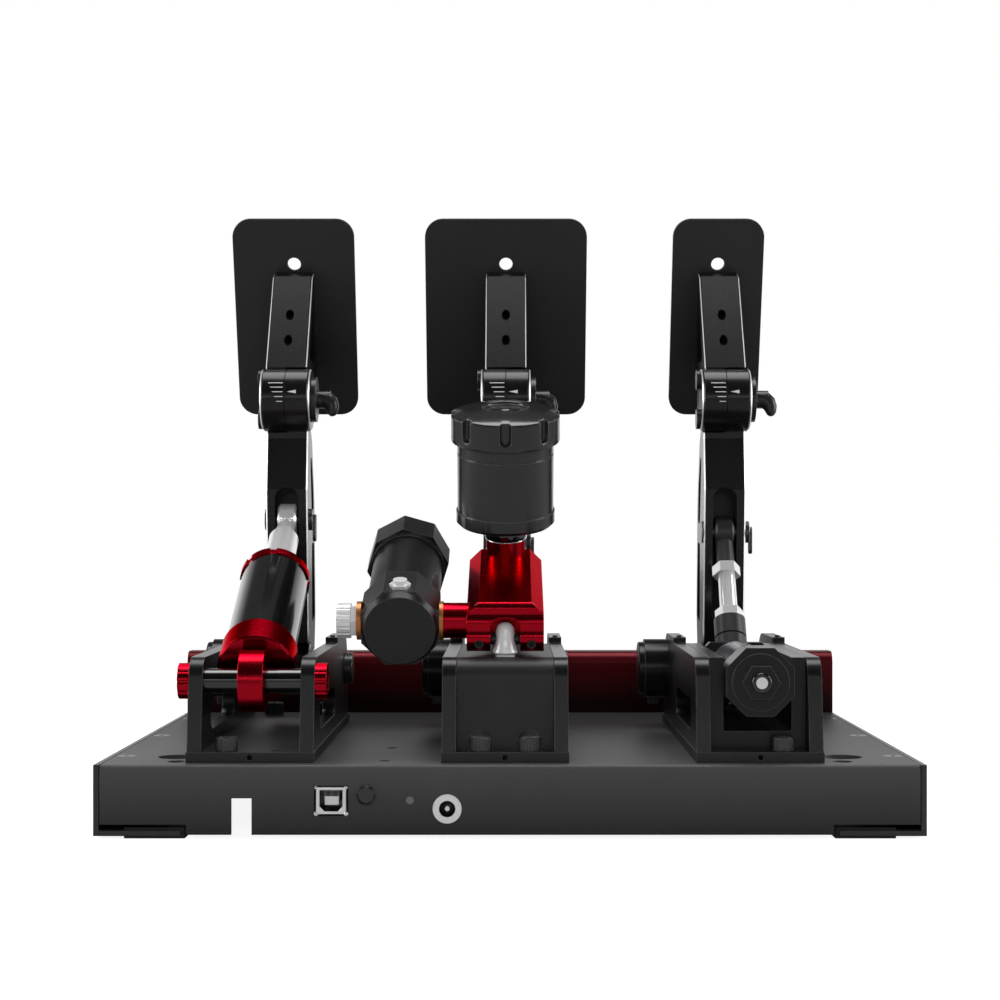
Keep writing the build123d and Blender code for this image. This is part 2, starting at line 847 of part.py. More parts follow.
# Cap screws of the brackets and the small lock screws on top of the side plates
def make_bracket_screws():
    head_level = bracket_top
    with BuildPart() as bracket_screws:
        with BuildSketch(Plane.XY.offset(head_level)):
            with Locations(*bracket_screw_places()):
                Circle(cap_screw_radius)
        extrude(amount=-cap_screw_length)
        with BuildSketch(Plane.XY.offset(head_level)):
            with Locations(*bracket_screw_places()):
                Circle(cap_screw_head_radius)
        extrude(amount=cap_screw_head_height)
        with BuildSketch(Plane.XY.offset(head_level + cap_screw_head_height)):
            with Locations(*bracket_screw_places()):
                RegularPolygon(cap_screw_key_radius, 6)
        extrude(amount=-cap_screw_key_depth, mode=Mode.SUBTRACT)
        lock_places = [
            (unit_x[pedal] + side * (side_inner + side_sheet / 2), lock_screw_y())
            for pedal in pedals
            for side in (-1, 1)
        ]
        with BuildSketch(Plane.XY.offset(pivot_z + side_boss_radius + lock_screw_proud)):
            with Locations(*lock_places):
                Circle(lock_screw_radius)
        extrude(amount=-(lock_screw_proud + lock_screw_length))
    return bracket_screws


# Bearing bushes: a flanged ring in each side plate
def make_pivot_bearings():
    with BuildPart() as pivot_bearings:
        for pedal in pedals:
            for side in (-1, 1):
                inner_x = unit_x[pedal] + side * side_inner
                with BuildSketch(Plane.YZ.offset(inner_x)):
                    with Locations((pivot_y, pivot_z)):
                        Circle(bearing_radius)
                        Circle(pivot_radius + running_gap, mode=Mode.SUBTRACT)
                extrude(amount=side * side_sheet)
                with BuildSketch(Plane.YZ.offset(inner_x)):
                    with Locations((pivot_y, pivot_z)):
                        Circle(bearing_flange_radius)
                        Circle(pivot_radius + running_gap, mode=Mode.SUBTRACT)
                extrude(amount=-side * bearing_flange)
    return pivot_bearings


# Angle sensor: a stepped round housing over the left end of a pivot shaft
def make_angle_sensor(pedal):
    outer_x = unit_x[pedal] - side_outer
    with BuildPart() as angle_sensor:
        with BuildSketch(Plane.YZ.offset(outer_x)):
            with Locations((pivot_y, pivot_z)):
                Circle(sensor_radius)
        extrude(amount=-(sensor_length - sensor_step))
        with BuildSketch(Plane.YZ.offset(outer_x - sensor_length + sensor_step)):
            with Locations((pivot_y, pivot_z)):
                Circle(sensor_radius - sensor_step_drop)
        extrude(amount=-sensor_step)
        fillet(angle_sensor.edges().group_by(Axis.X)[0], sensor_step_drop / 2)
        with BuildSketch(Plane.YZ.offset(outer_x)):
            with Locations((pivot_y, pivot_z)):
                Circle(sensor_pocket_radius)
        extrude(amount=-sensor_pocket_depth, mode=Mode.SUBTRACT)
        # Plug block under the housing
        plug_x = outer_x - sensor_length / 2
        with BuildSketch(Plane.XY.offset(pivot_z - sensor_radius - sensor_plug_length / 2)):
            with Locations((plug_x, pivot_y)):
                Rectangle(sensor_plug_height, sensor_plug_width)
        extrude(amount=sensor_plug_length)
    return angle_sensor


def make_angle_sensors():
    with BuildPart() as angle_sensors:
        for pedal in pedals:
            add(make_angle_sensor(pedal).part)
    return angle_sensors


# Pivot shaft, its spacers and the linkage pin of one pedal
def make_pins(pedal):
    x = unit_x[pedal]
    pin_z = pivot_z + pin_rises[pedal]
    clearance = running_gap + hair_gap
    spacer_length = side_inner - bearing_flange - arm_half - clearance
    shaft_low = -side_outer - sensor_shaft_reach
    shaft_high = side_outer + pivot_nut_reach
    with BuildPart() as pins:
        with BuildSketch(Plane.YZ.offset(x + shaft_low)):
            with Locations((pivot_y, pivot_z)):
                Circle(pivot_radius)
        extrude(amount=shaft_high - shaft_low)
        with BuildSketch(Plane.YZ.offset(x + side_outer + clearance)):
            with Locations((pivot_y, pivot_z)):
                Circle(spacer_radius)
        extrude(amount=pivot_nut_reach - clearance)
        for side in (-1, 1):
            with BuildSketch(Plane.YZ.offset(x + side * arm_half)):
                with Locations((pivot_y, pivot_z)):
                    Circle(spacer_radius)
            extrude(amount=side * spacer_length)
        with BuildSketch(Plane.YZ.offset(x - arm_half)):
            with Locations((pin_y, pin_z)):
                Circle(link_pin_radius)
        extrude(amount=arm_width)
        for side, head_height in ((-1, link_pin_left_height), (1, link_pin_head_height)):
            with BuildSketch(Plane.YZ.offset(x + side * arm_half)):
                with Locations((pin_y, pin_z)):
                    Circle(link_pin_head_radius)
            extrude(amount=side * head_height)
        # Clip tail that hangs from the pin's right end
        with BuildSketch(Plane.YZ.offset(x + arm_half + link_pin_head_height)):
            with Locations((pin_y, pin_z - link_clip_length / 2)):
                SlotOverall(link_clip_length + link_clip_width, link_clip_width, rotation=90)
        extrude(amount=link_clip_sheet)
    return pins


# Lower arm: a milled lever with a fork for the rod end and half of the knuckle at its head
def make_arm(pedal):
    x = unit_x[pedal]
    pin_z = pivot_z + pin_rises[pedal]
    fork_back = pin_y + fork_wall
    fork_foot = pivot_z + fork_foot_rise
    with BuildPart() as arm:
        with BuildSketch(Plane.YZ.offset(x - arm_half)) as outline:
            with BuildLine():
                Polyline(
                    *side_points(arm_front_shares, arm_rise, pivot_y, pivot_z),
                    *side_points(arm_rear_shares, arm_rise, pivot_y, pivot_z),
                    (knuckle_y, knuckle_z),
                    close=True,
                )
            make_face()
            with Locations((pivot_y, pivot_z)):
                Circle(arm_hub_radius)
            with Locations((knuckle_y, knuckle_z)):
                Circle(knuckle_radius)
            with Locations((pivot_y, pivot_z)):
                Circle(pivot_radius, mode=Mode.SUBTRACT)
            with Locations((pin_y, pin_z)):
                Circle(link_pin_radius, mode=Mode.SUBTRACT)
        extrude(amount=arm_width)
        for face in (arm.faces().sort_by(Axis.X)[0], arm.faces().sort_by(Axis.X)[-1]):
            chamfer(face.outer_wire().edges(), arm_edge_chamfer)
        # Windows through the sides
        with BuildSketch(Plane.YZ.offset(x - arm_half - overrun)) as windows:
            for shares in (arm_low_window_shares, arm_high_window_shares):
                with BuildLine():
                    Polyline(*side_points(shares, arm_rise, pivot_y, pivot_z), close=True)
                make_face()
            fillet(windows.vertices(), window_corner)
        extrude(amount=arm_width + 2 * overrun, mode=Mode.SUBTRACT)
        # Fork for the rod end, round at its head
        with BuildSketch(Plane.XZ.offset(-fork_back)):
            slot_height = pivot_z + link_pin_rise + fork_head_margin - fork_foot
            with Locations((x, fork_foot + slot_height / 2)):
                SlotOverall(slot_height, fork_gap, rotation=90)
        extrude(amount=fork_wall * 5, mode=Mode.SUBTRACT)
        # Left half of the knuckle and the face arm's sweep are cleared
        with BuildSketch(Plane.YZ.offset(x + hair_gap)):
            with Locations((knuckle_y, knuckle_z)):
                Circle(knuckle_radius + touch_gap * 2)
        extrude(amount=-(arm_width + overrun), mode=Mode.SUBTRACT)
        with BuildSketch(Plane.YZ.offset(x + hair_gap)):
            with Locations((knuckle_y, knuckle_z)):
                Circle(knuckle_radius)
        extrude(amount=knuckle_half - hair_gap)
        chamfer(arm.faces().sort_by(Axis.X)[-1].outer_wire().edges(), knuckle_chamfer)
        with BuildSketch(Plane.YZ.offset(x)):
            with Locations((knuckle_y, knuckle_z)):
                Circle(tilt_screw_radius + running_gap)
        extrude(amount=knuckle_width, mode=Mode.SUBTRACT)
    return arm


def plate_line(distance):
    """A point of the side view on the face plate's lower side, at a distance up from its centre."""
    return plate_centre + plate_up * distance + plate_out * (face_sheet / 2)


# Face arm: a wedge that carries the face plate and the left half of the knuckle
def make_face_arm(pedal):
    x = unit_x[pedal]
    head = plate_line(face_arm_reach)
    foot = plate_line(-face_arm_foot)
    head_front = head + plate_out * face_arm_top_depth
    neck = Vector(0, knuckle_y - knuckle_radius * sin(radians(face_lean)), knuckle_z + knuckle_radius)
    heel = Vector(0, knuckle_y + knuckle_radius, knuckle_z - knuckle_radius * sin(radians(face_lean)))
    with BuildPart() as face_arm:
        with BuildSketch(Plane.YZ.offset(x - face_arm_width / 2)):
            with BuildLine():
                Polyline(
                    (neck.Y, neck.Z),
                    (head_front.Y, head_front.Z),
                    (head.Y, head.Z),
                    (foot.Y, foot.Z),
                    (heel.Y, heel.Z),
                    (knuckle_y, knuckle_z),
                    close=True,
                )
            make_face()
        extrude(amount=face_arm_width)
        for face in (face_arm.faces().sort_by(Axis.X)[0], face_arm.faces().sort_by(Axis.X)[-1]):
            chamfer(face.outer_wire().edges(), face_arm_edge_chamfer)
        with BuildSketch(Plane.YZ.offset(x - face_arm_width / 2 - overrun)) as window:
            with BuildLine():
                Polyline(*side_points(face_arm_window_shares, face_length, knuckle_y, knuckle_z), close=True)
            make_face()
            fillet(window.vertices(), face_arm_window_corner)
        extrude(amount=face_arm_width + 2 * overrun, mode=Mode.SUBTRACT)
        # Right half is cut clear of the lower arm's knuckle, then the left cheek is added
        with BuildSketch(Plane.YZ.offset(x - hair_gap)):
            with Locations((knuckle_y, knuckle_z)):
                Circle(knuckle_radius + touch_gap * 2)
        extrude(amount=knuckle_half + overrun, mode=Mode.SUBTRACT)
        with BuildSketch(Plane.YZ.offset(x - knuckle_half)):
            with Locations((knuckle_y, knuckle_z)):
                Circle(knuckle_radius)
        extrude(amount=knuckle_half - hair_gap)
        cheek_rim = face_arm.faces().sort_by(Axis.X)[0].outer_wire().edges()
        chamfer(cheek_rim, knuckle_chamfer)
        with BuildSketch(Plane.YZ.offset(x - knuckle_half - overrun)):
            with Locations((knuckle_y, knuckle_z)):
                Circle(tilt_screw_radius)
        extrude(amount=knuckle_half + overrun, mode=Mode.SUBTRACT)
        # Holes square to the face plate, for its screws
        for place in face_screw_distances():
            hole_plane = Plane(origin=(x, *tuple(plate_line(place))[1:]), x_dir=(1, 0, 0), z_dir=plate_out)
            with BuildSketch(hole_plane):
                Circle(face_arm_hole_radius)
            extrude(amount=face_length, mode=Mode.SUBTRACT)
    return face_arm


def face_hole_distances():
    """Places of the face plate's row of holes, measured up from its centre."""
    return [face_hole_first - face_hole_pitch * step for step in range(4)]


def face_screw_distances():
    """Holes of the row that hold a screw."""
    return face_hole_distances()[-face_screw_count:]


# Face plate: the pedal pad, a flat sheet with rounded corners and a row of holes
def make_face_plate(pedal):
    sheet_plane = Plane(origin=(unit_x[pedal], plate_centre.Y, plate_centre.Z), x_dir=(1, 0, 0), z_dir=plate_out)
    with BuildPart() as face_plate:
        with BuildSketch(sheet_plane.offset(-face_sheet / 2)):
            RectangleRounded(face_widths[pedal], face_length, face_corner)
            with Locations(*[(0, distance) for distance in face_hole_distances()[:-face_screw_count]]):
                Circle(face_hole_radius, mode=Mode.SUBTRACT)
            with Locations(*[(0, distance) for distance in face_screw_distances()]):
                Circle(face_screw_radius, mode=Mode.SUBTRACT)
        extrude(amount=face_sheet)
    return face_plate


# Screws of the face plate and of the knuckle
def make_face_screws(pedal):
    x = unit_x[pedal]
    with BuildPart() as face_screws:
        for distance in face_screw_distances():
            seat = plate_centre + plate_up * distance - plate_out * (face_sheet / 2)
            seat_plane = Plane(origin=(x, seat.Y, seat.Z), x_dir=(1, 0, 0), z_dir=plate_out)
            with BuildSketch(seat_plane):
                Circle(face_screw_radius)
            extrude(amount=face_screw_length)
            with BuildSketch(seat_plane):
                Circle(face_screw_head_radius)
            extrude(amount=-face_screw_head_height)
        for side in (-1, 1):
            with BuildSketch(Plane.YZ.offset(x - knuckle_half)):
                with Locations((knuckle_y, knuckle_z + side * tilt_side_screw_spread)):
                    Circle(tilt_side_screw_radius)
            extrude(amount=-tilt_side_screw_height)
        # Clamp screw and washer on the right of the knuckle
        with BuildSketch(Plane.YZ.offset(x - knuckle_half)):
            with Locations((knuckle_y, knuckle_z)):
                Circle(tilt_screw_radius)
        extrude(amount=knuckle_width)
        with BuildSketch(Plane.YZ.offset(x + knuckle_half + hair_gap)):
            with Locations((knuckle_y, knuckle_z)):
                Circle(tilt_washer_radius)
        extrude(amount=tilt_washer_sheet)
        with BuildSketch(Plane.YZ.offset(x + knuckle_half + hair_gap)):
            with Locations((knuckle_y, knuckle_z)):
                Circle(tilt_head_radius)
        extrude(amount=tilt_washer_sheet + tilt_head_height)
        with BuildSketch(Plane.YZ.offset(x + knuckle_half + tilt_washer_sheet + hair_gap + tilt_head_height)):
            with Locations((knuckle_y, knuckle_z)):
                RegularPolygon(cap_screw_key_radius, 6)
        extrude(amount=-cap_screw_key_depth, mode=Mode.SUBTRACT)
    return face_screws


# Line of the throttle damper, from its eye to the linkage pin
damper_eye_z = deck_height + damper_eye_rise
throttle_pin_z = pivot_z + link_pin_rise
damper_span = hypot(pin_y - damper_eye_y, throttle_pin_z - damper_eye_z)
damper_slope = degrees(atan2(throttle_pin_z - damper_eye_z, pin_y - damper_eye_y))
throttle_x = unit_x["throttle"]


def damper_plane(along):
    """A plane across the damper at a distance from its eye."""
    y = damper_eye_y + along * cos(radians(damper_slope))
    z = damper_eye_z + along * sin(radians(damper_slope))
    return line_plane(throttle_x, y, z, damper_slope)


def make_damper_shaft():
    half_span = side_outer + damper_nut_width
    with BuildPart() as damper_shaft:
        with BuildSketch(Plane.YZ.offset(throttle_x - half_span + hair_gap)):
            with Locations((damper_eye_y, damper_eye_z)):
                Circle(damper_shaft_radius)
        extrude(amount=2 * (half_span - hair_gap))
    return damper_shaft


# Fluted nuts on both ends of the damper's cross shaft
def make_damper_nuts():
    with BuildPart() as damper_nuts:
        for side in (-1, 1):
            with BuildSketch(Plane.YZ.offset(throttle_x + side * side_outer)):
                with Locations((damper_eye_y, damper_eye_z)):
                    Circle(damper_nut_radius)
                    with PolarLocations(damper_nut_radius + damper_nut_flute_radius / 2, damper_nut_flutes):
                        Circle(damper_nut_flute_radius, mode=Mode.SUBTRACT)
                    Circle(damper_shaft_radius, mode=Mode.SUBTRACT)
            extrude(amount=side * damper_nut_width)
    return damper_nuts


# Strut: the red eye on the cross shaft with the collar that closes the tube
def make_damper_strut():
    collar_start = damper_strut_reach
    with BuildPart() as damper_strut:
        with BuildSketch(Plane.YZ.offset(throttle_x - damper_eye_width / 2)):
            with Locations((damper_eye_y, damper_eye_z)):
                Circle(damper_eye_radius)
        extrude(amount=damper_eye_width)
        with BuildSketch(damper_plane(0)):
            Rectangle(damper_eye_width, damper_eye_width * 1.4)
        extrude(amount=collar_start + damper_collar_bevel)
        with BuildSketch(damper_plane(collar_start)):
            Circle(damper_collar_radius)
        extrude(amount=damper_collar_length)
        chamfer(damper_strut.edges().filter_by(GeomType.CIRCLE).sort_by(SortBy.RADIUS)[-2:], damper_collar_bevel / 3)
        with BuildSketch(damper_plane(collar_start + damper_collar_length)):
            Circle(damper_tube_radius)
        extrude(amount=-damper_tube_sink, mode=Mode.SUBTRACT)
        with BuildSketch(Plane.YZ.offset(throttle_x - damper_eye_width)):
            with Locations((damper_eye_y, damper_eye_z)):
                Circle(damper_shaft_radius + running_gap)
        extrude(amount=2 * damper_eye_width, mode=Mode.SUBTRACT)
    return damper_strut


damper_tube_start = damper_strut_reach + damper_collar_length - damper_tube_sink
damper_tube_end = damper_tube_start + damper_tube_length


def make_damper_tube():
    with BuildPart() as damper_tube:
        with BuildSketch(damper_plane(damper_tube_start)):
            Circle(damper_tube_radius)
        extrude(amount=damper_tube_length)
        with BuildSketch(damper_plane(damper_tube_end)):
            Circle(damper_rod_radius + running_gap)
        extrude(amount=-(damper_tube_length - damper_tube_wall * 2), mode=Mode.SUBTRACT)
    return damper_tube


# Notched ring that closes the tube round the rod
def make_damper_ring():
    with BuildPart() as damper_ring:
        with BuildSketch(damper_plane(damper_tube_end)):
            Circle(damper_ring_radius)
            Circle(damper_rod_radius + running_gap, mode=Mode.SUBTRACT)
            with PolarLocations(damper_ring_radius, damper_ring_notches):
                Rectangle(2 * damper_ring_notch_depth, damper_ring_notch_width, mode=Mode.SUBTRACT)
        extrude(amount=damper_ring_length)
    return damper_ring


damper_rod_end_start = damper_span - damper_end_reach


# Chrome rod with its lock nut
def make_damper_rod():
    rod_start = damper_tube_end - damper_rod_hidden
    with BuildPart() as damper_rod:
        with BuildSketch(damper_plane(rod_start)):
            Circle(damper_rod_radius)
        extrude(amount=damper_rod_end_start - rod_start)
        with BuildSketch(damper_plane(damper_rod_end_start)):
            RegularPolygon(damper_nut_across / 2, 6, major_radius=False)
        extrude(amount=damper_lock_length)
        add(make_rod_end(throttle_x, pin_y, throttle_pin_z, damper_slope, rod_end_slack, damper_end_reach))
    return damper_rod


# Rod end: an eye on a linkage pin, with its shank back to the rod
def make_rod_end(x, y, z, slope, slack, reach):
    with BuildPart() as rod_end:
        with BuildSketch(Plane.YZ.offset(x - rod_end_width / 2)):
            with Locations((y, z)):
                Circle(rod_end_radius)
        extrude(amount=rod_end_width)
        chamfer(rod_end.edges().filter_by(GeomType.CIRCLE), rod_end_bevel)
        with BuildSketch(line_plane(x, y, z, slope)):
            Circle(rod_end_shank_radius)
        extrude(amount=-reach)
        with BuildSketch(Plane.YZ.offset(x - rod_end_width)):
            with Locations((y, z)):
                Circle(link_pin_radius + slack)
        extrude(amount=2 * rod_end_width, mode=Mode.SUBTRACT)
    return rod_end.part


# Lines of the brake hydraulics
brake_pin_z = pivot_z + brake_pin_rise
master_start_z = deck_height + master_start_rise
master_slope = degrees(atan2(brake_pin_z - master_start_z, pin_y - master_start_y))
master_span = hypot(pin_y - master_start_y, brake_pin_z - master_start_z)
line_start_z = deck_height + line_start_rise


def master_plane(along, lift=0):
    """A plane across the master cylinder, lifted square to its axis."""
    slope = radians(master_slope)
    y = master_start_y + along * cos(slope) - lift * sin(slope)
    z = master_start_z + along * sin(slope) + lift * cos(slope)
    return line_plane(brake_x, y, z, master_slope)


def master_side_plane(x):
    """The master cylinder's side view: along its axis, and square up from it."""
    slope = radians(master_slope)
    return Plane(origin=(x, master_start_y, master_start_z), x_dir=(0, cos(slope), sin(slope)), z_dir=(1, 0, 0))


def pressure_plane(along, lift=0):
    """A plane across the pressure cylinder, which runs beside the master cylinder."""
    slope = radians(line_slope)
    y = line_start_y + along * cos(slope) - lift * sin(slope)
    z = line_start_z + along * sin(slope) + lift * cos(slope)
    return line_plane(brake_x + line_x, y, z, line_slope)


def bleed_plane():
    """The flat on top of the head block where the bleed screw sits."""
    base = pressure_plane(bleed_along, line_block_across / 2 - bleed_flat_depth).origin
    slope = radians(line_slope)
    return Plane(origin=base, x_dir=(1, 0, 0), z_dir=(0, -sin(slope), cos(slope)))


def reservoir_plane(lift):
    """A plane square to the reservoir's own axis, at a height over the master cylinder's axis."""
    base = master_plane(reservoir_along, lift).origin
    slope = radians(master_slope)
    return Plane(origin=base, x_dir=(1, 0, 0), z_dir=(0, -sin(slope), cos(slope)))


# Bridge plate: front cover and top of the brake bracket in one bent piece
def make_brake_bridge():
    half = side_inner - hair_gap
    front_foot = bracket_front_y + bridge_front_reach
    front = front_foot + side_front_lean / 2
    top = side_top - hair_gap
    with BuildPart() as brake_bridge:
        with BuildSketch(Plane.YZ.offset(brake_x - half)) as section:
            with Locations((front + bridge_depth / 2, top - bridge_sheet / 2)):
                Rectangle(bridge_depth, bridge_sheet)
            with Locations((front + bridge_sheet / 2, (top + bracket_top) / 2)):
                Rectangle(bridge_sheet, top - bracket_top)
            fillet(section.vertices().sort_by_distance((front, top, 0))[0], side_front_round)
            inner_corner = (front + bridge_sheet, top - bridge_sheet, 0)
            fillet(section.vertices().sort_by_distance(inner_corner)[0], side_front_round - bridge_sheet)
        extrude(amount=2 * half)
        with BuildSketch(Plane.XZ.offset(-front_foot + overrun)):
            for side in (-1, 1):
                notch_length = 2 * (cap_screw_head_height + bridge_screw_notch_rise)
                with Locations((brake_x + side * cap_screw_spacing_x / 2, bracket_top)):
                    SlotOverall(notch_length, 2 * bridge_screw_notch_radius, rotation=90)
        extrude(amount=-(side_front_lean + bridge_sheet + 2 * overrun), mode=Mode.SUBTRACT)
    return brake_bridge


# Mounting stud: a turned post with a round head, which holds the master cylinder
def make_mounting_stud():
    foot = side_top - hair_gap
    with BuildPart() as mounting_stud:
        with BuildSketch(Plane(origin=(brake_x, stud_y, foot), x_dir=(1, 0, 0), z_dir=(0, -1, 0))):
            with BuildLine():
                Polyline(
                    (0, stud_height),
                    (0, 0),
                    (stud_base_radius, 0),
                    (stud_base_radius, stud_base_height),
                    (stud_flare_radius, stud_base_height),
                    (stud_flare_radius, stud_base_height + stud_flare_height),
                    (stud_waist_radius, stud_waist_rise),
                    (stud_waist_radius, stud_waist_rise + stud_waist_length),
                    (stud_radius, stud_height - stud_radius),
                )
                RadiusArc((stud_radius, stud_height - stud_radius), (0, stud_height), stud_radius)
            make_face()
        revolve(axis=Axis((brake_x, stud_y, foot), (0, 0, 1)))
        with BuildSketch(Plane.YZ.offset(brake_x - stud_pin_length / 2)):
            with Locations((stud_y, foot + stud_pin_rise)):
                Circle(stud_pin_radius)
        extrude(amount=stud_pin_length)
    return mounting_stud


# Master cylinder: an eight-sided block with a slotted lug at its front and a boss to the left
def make_master_cylinder():
    with BuildPart() as master_cylinder:
        body_height = master_top + master_bottom
        with BuildSketch(master_plane(master_front)) as body:
            with Locations((0, (master_top - master_bottom) / 2)):
                Rectangle(master_width, body_height)
            chamfer(body.vertices().group_by(Axis.Y)[-1], master_chamfer)
        extrude(amount=master_length)
        with BuildSketch(master_plane(master_belly_start)) as belly:
            with Locations((0, -master_belly / 2)):
                Rectangle(master_width, master_belly)
            chamfer(belly.vertices().group_by(Axis.Y)[0], master_chamfer)
        extrude(amount=master_front + master_length - master_belly_start)
        # Boss towards the pressure cylinder
        boss = master_plane(master_boss_along, master_boss_lift).origin
        with BuildSketch(Plane.YZ.offset(brake_x)):
            with Locations((boss.Y, boss.Z)):
                Circle(master_boss_radius)
        extrude(amount=-(master_width / 2 + master_boss_reach))
        # Neck under the reservoir
        with BuildSketch(reservoir_plane(master_top / 2)):
            Circle(master_neck_radius)
        extrude(amount=master_top / 2 + master_neck_height)
        # Slot for the stud, open at the front lug's underside
        with BuildSketch(Plane.XZ.offset(-master_start_y)):
            slot_top = side_top - hair_gap + stud_height + master_slot_room
            slot_bottom = slot_top - master_slot_width * 3
            with Locations((brake_x, (slot_top + slot_bottom) / 2)):
                RectangleRounded(master_slot_width, slot_top - slot_bottom, master_slot_round)
        extrude(amount=-(master_slot_length + master_front), mode=Mode.SUBTRACT)
        # Nose of the lug: a sloped band over a rounded front
        nose_back = master_front + master_nose_bulge
        brow = (nose_back, master_top - master_nose_drop)
        crown = (master_front + master_nose_band, master_top + overrun)
        with BuildSketch(master_side_plane(brake_x - master_width)):
            with BuildLine():
                Polyline(
                    (nose_back, -master_bottom - overrun),
                    (master_front - overrun, -master_bottom - overrun),
                    (master_front - overrun, master_top + overrun),
                    crown,
                    brow,
                )
                ThreePointArc(brow, (master_front, master_bottom / 2), (nose_back, -master_bottom - overrun))
            make_face()
        extrude(amount=2 * master_width, mode=Mode.SUBTRACT)
        # Bore for the stud's cross pin
        with BuildSketch(Plane.YZ.offset(brake_x - stud_pin_length / 2)):
            with Locations((stud_y, side_top - hair_gap + stud_pin_rise)):
                Circle(stud_pin_radius)
        extrude(amount=stud_pin_length, mode=Mode.SUBTRACT)
        # Bore for the push rod and two grub screws in the lug
        with BuildSketch(master_plane(master_front + master_length)):
            Circle(brake_rod_radius + touch_gap)
        extrude(amount=-master_rod_bore_depth, mode=Mode.SUBTRACT)
        with BuildSketch(master_plane(master_front, grub_edge - master_bottom)):
            with Locations((-grub_spacing / 2, 0), (grub_spacing / 2, 0)):
                Circle(grub_radius)
        extrude(amount=grub_depth, mode=Mode.SUBTRACT)
    return master_cylinder


# Brake push rod with its nut
def make_brake_push_rod():
    start = master_front + master_length - master_rod_bore_depth + brake_rod_travel
    end = master_span - rod_end_reach
    nut_start = end - brake_nut_width
    with BuildPart() as brake_push_rod:
        with BuildSketch(master_plane(start)):
            Circle(brake_rod_radius)
        extrude(amount=end - start)
        with BuildSketch(master_plane(nut_start)):
            RegularPolygon(brake_nut_across / 2, 6, major_radius=False)
        extrude(amount=brake_nut_width)
        add(make_rod_end(brake_x, pin_y, brake_pin_z, master_slope, brake_rod_slack, rod_end_reach))
    return brake_push_rod


reservoir_foot = master_top + master_neck_height
reservoir_floor = reservoir_foot + reservoir_neck_height
reservoir_brim = reservoir_floor + reservoir_height


# Reservoir: a hollow cup on a short neck
def make_reservoir():
    with BuildPart() as reservoir:
        with BuildSketch(reservoir_plane(reservoir_foot)):
            Circle(master_neck_radius)
        extrude(amount=reservoir_neck_height)
        with BuildSketch(reservoir_plane(reservoir_floor)):
            Circle(reservoir_radius + reservoir_band_lip)
        extrude(amount=reservoir_band)
        band_rims = reservoir.edges().filter_by(GeomType.CIRCLE).sort_by(SortBy.RADIUS)[-2:]
        chamfer(band_rims.sort_by(Axis.Z)[0], reservoir_band_bevel)
        with BuildSketch(reservoir_plane(reservoir_floor + reservoir_band)):
            Circle(reservoir_radius)
        extrude(amount=reservoir_height - reservoir_band)
        with BuildSketch(reservoir_plane(reservoir_brim - reservoir_groove_drop)):
            Circle(reservoir_radius + overrun)
            Circle(reservoir_radius - reservoir_groove, mode=Mode.SUBTRACT)
        extrude(amount=-reservoir_groove, mode=Mode.SUBTRACT)
        with BuildSketch(reservoir_plane(reservoir_brim)):
            Circle(reservoir_radius - reservoir_wall)
        extrude(amount=-(reservoir_height - reservoir_wall), mode=Mode.SUBTRACT)
    return reservoir


# Reservoir cap: a domed screw cap with grooves round its rim
def make_reservoir_cap():
    with BuildPart() as reservoir_cap:
        with BuildSketch(reservoir_plane(reservoir_brim + running_gap)):
            Circle(cap_radius)
            with PolarLocations(cap_radius + cap_groove_radius / 3, cap_grooves, start_angle=-90):
                Circle(cap_groove_radius, mode=Mode.SUBTRACT)
        extrude(amount=cap_height - running_gap)
        with BuildSketch(reservoir_plane(reservoir_brim + cap_height)):
            Circle(cap_radius - cap_groove_radius)
        with BuildSketch(reservoir_plane(reservoir_brim + cap_height + cap_dome)):
            Circle(cap_dimple_radius + cap_dimple_depth)
        loft()
        with BuildSketch(reservoir_plane(reservoir_brim + cap_height + cap_dome)):
            Circle(cap_dimple_radius)
        extrude(amount=-cap_dimple_depth, mode=Mode.SUBTRACT)
        with BuildSketch(reservoir_plane(reservoir_brim + 2 * running_gap)):
            Circle(reservoir_radius - reservoir_wall - touch_gap)
            Circle(reservoir_radius - 2 * reservoir_wall, mode=Mode.SUBTRACT)
        extrude(amount=-cap_skirt)
    return reservoir_cap


# Pressure cylinder: an eight-sided head block with a long tube
def make_pressure_cylinder():
    with BuildPart() as pressure_cylinder:
        with BuildSketch(pressure_plane(line_block_nose)):
            RegularPolygon(line_block_across / 2, 8, major_radius=False, rotation=22.5)
        extrude(amount=line_block_length - line_block_nose)
        with BuildSketch(pressure_plane(0)):
            Circle(line_block_across / 2 - line_block_nose / 2)
        with BuildSketch(pressure_plane(line_block_nose)):
            Circle(line_block_across / 2)
        loft()
        with BuildSketch(pressure_plane(line_block_length)):
            Circle(line_tube_radius)
        extrude(amount=line_tube_length - line_block_length)
        with BuildSketch(bleed_plane()):
            Rectangle(bleed_flat, bleed_flat)
        extrude(amount=overrun, mode=Mode.SUBTRACT)
        # Cross bore for the banjo bolt
        bore = banjo_centre()
        with BuildSketch(Plane.YZ.offset(brake_x + line_x - line_block_across)):
            with Locations((bore.Y, bore.Z)):
                Circle(banjo_radius)
        extrude(amount=2 * line_block_across, mode=Mode.SUBTRACT)
    return pressure_cylinder


def banjo_centre():
    """Axis of the banjo bolt in the side view, which is the master cylinder's boss."""
    return master_plane(master_boss_along, master_boss_lift).origin


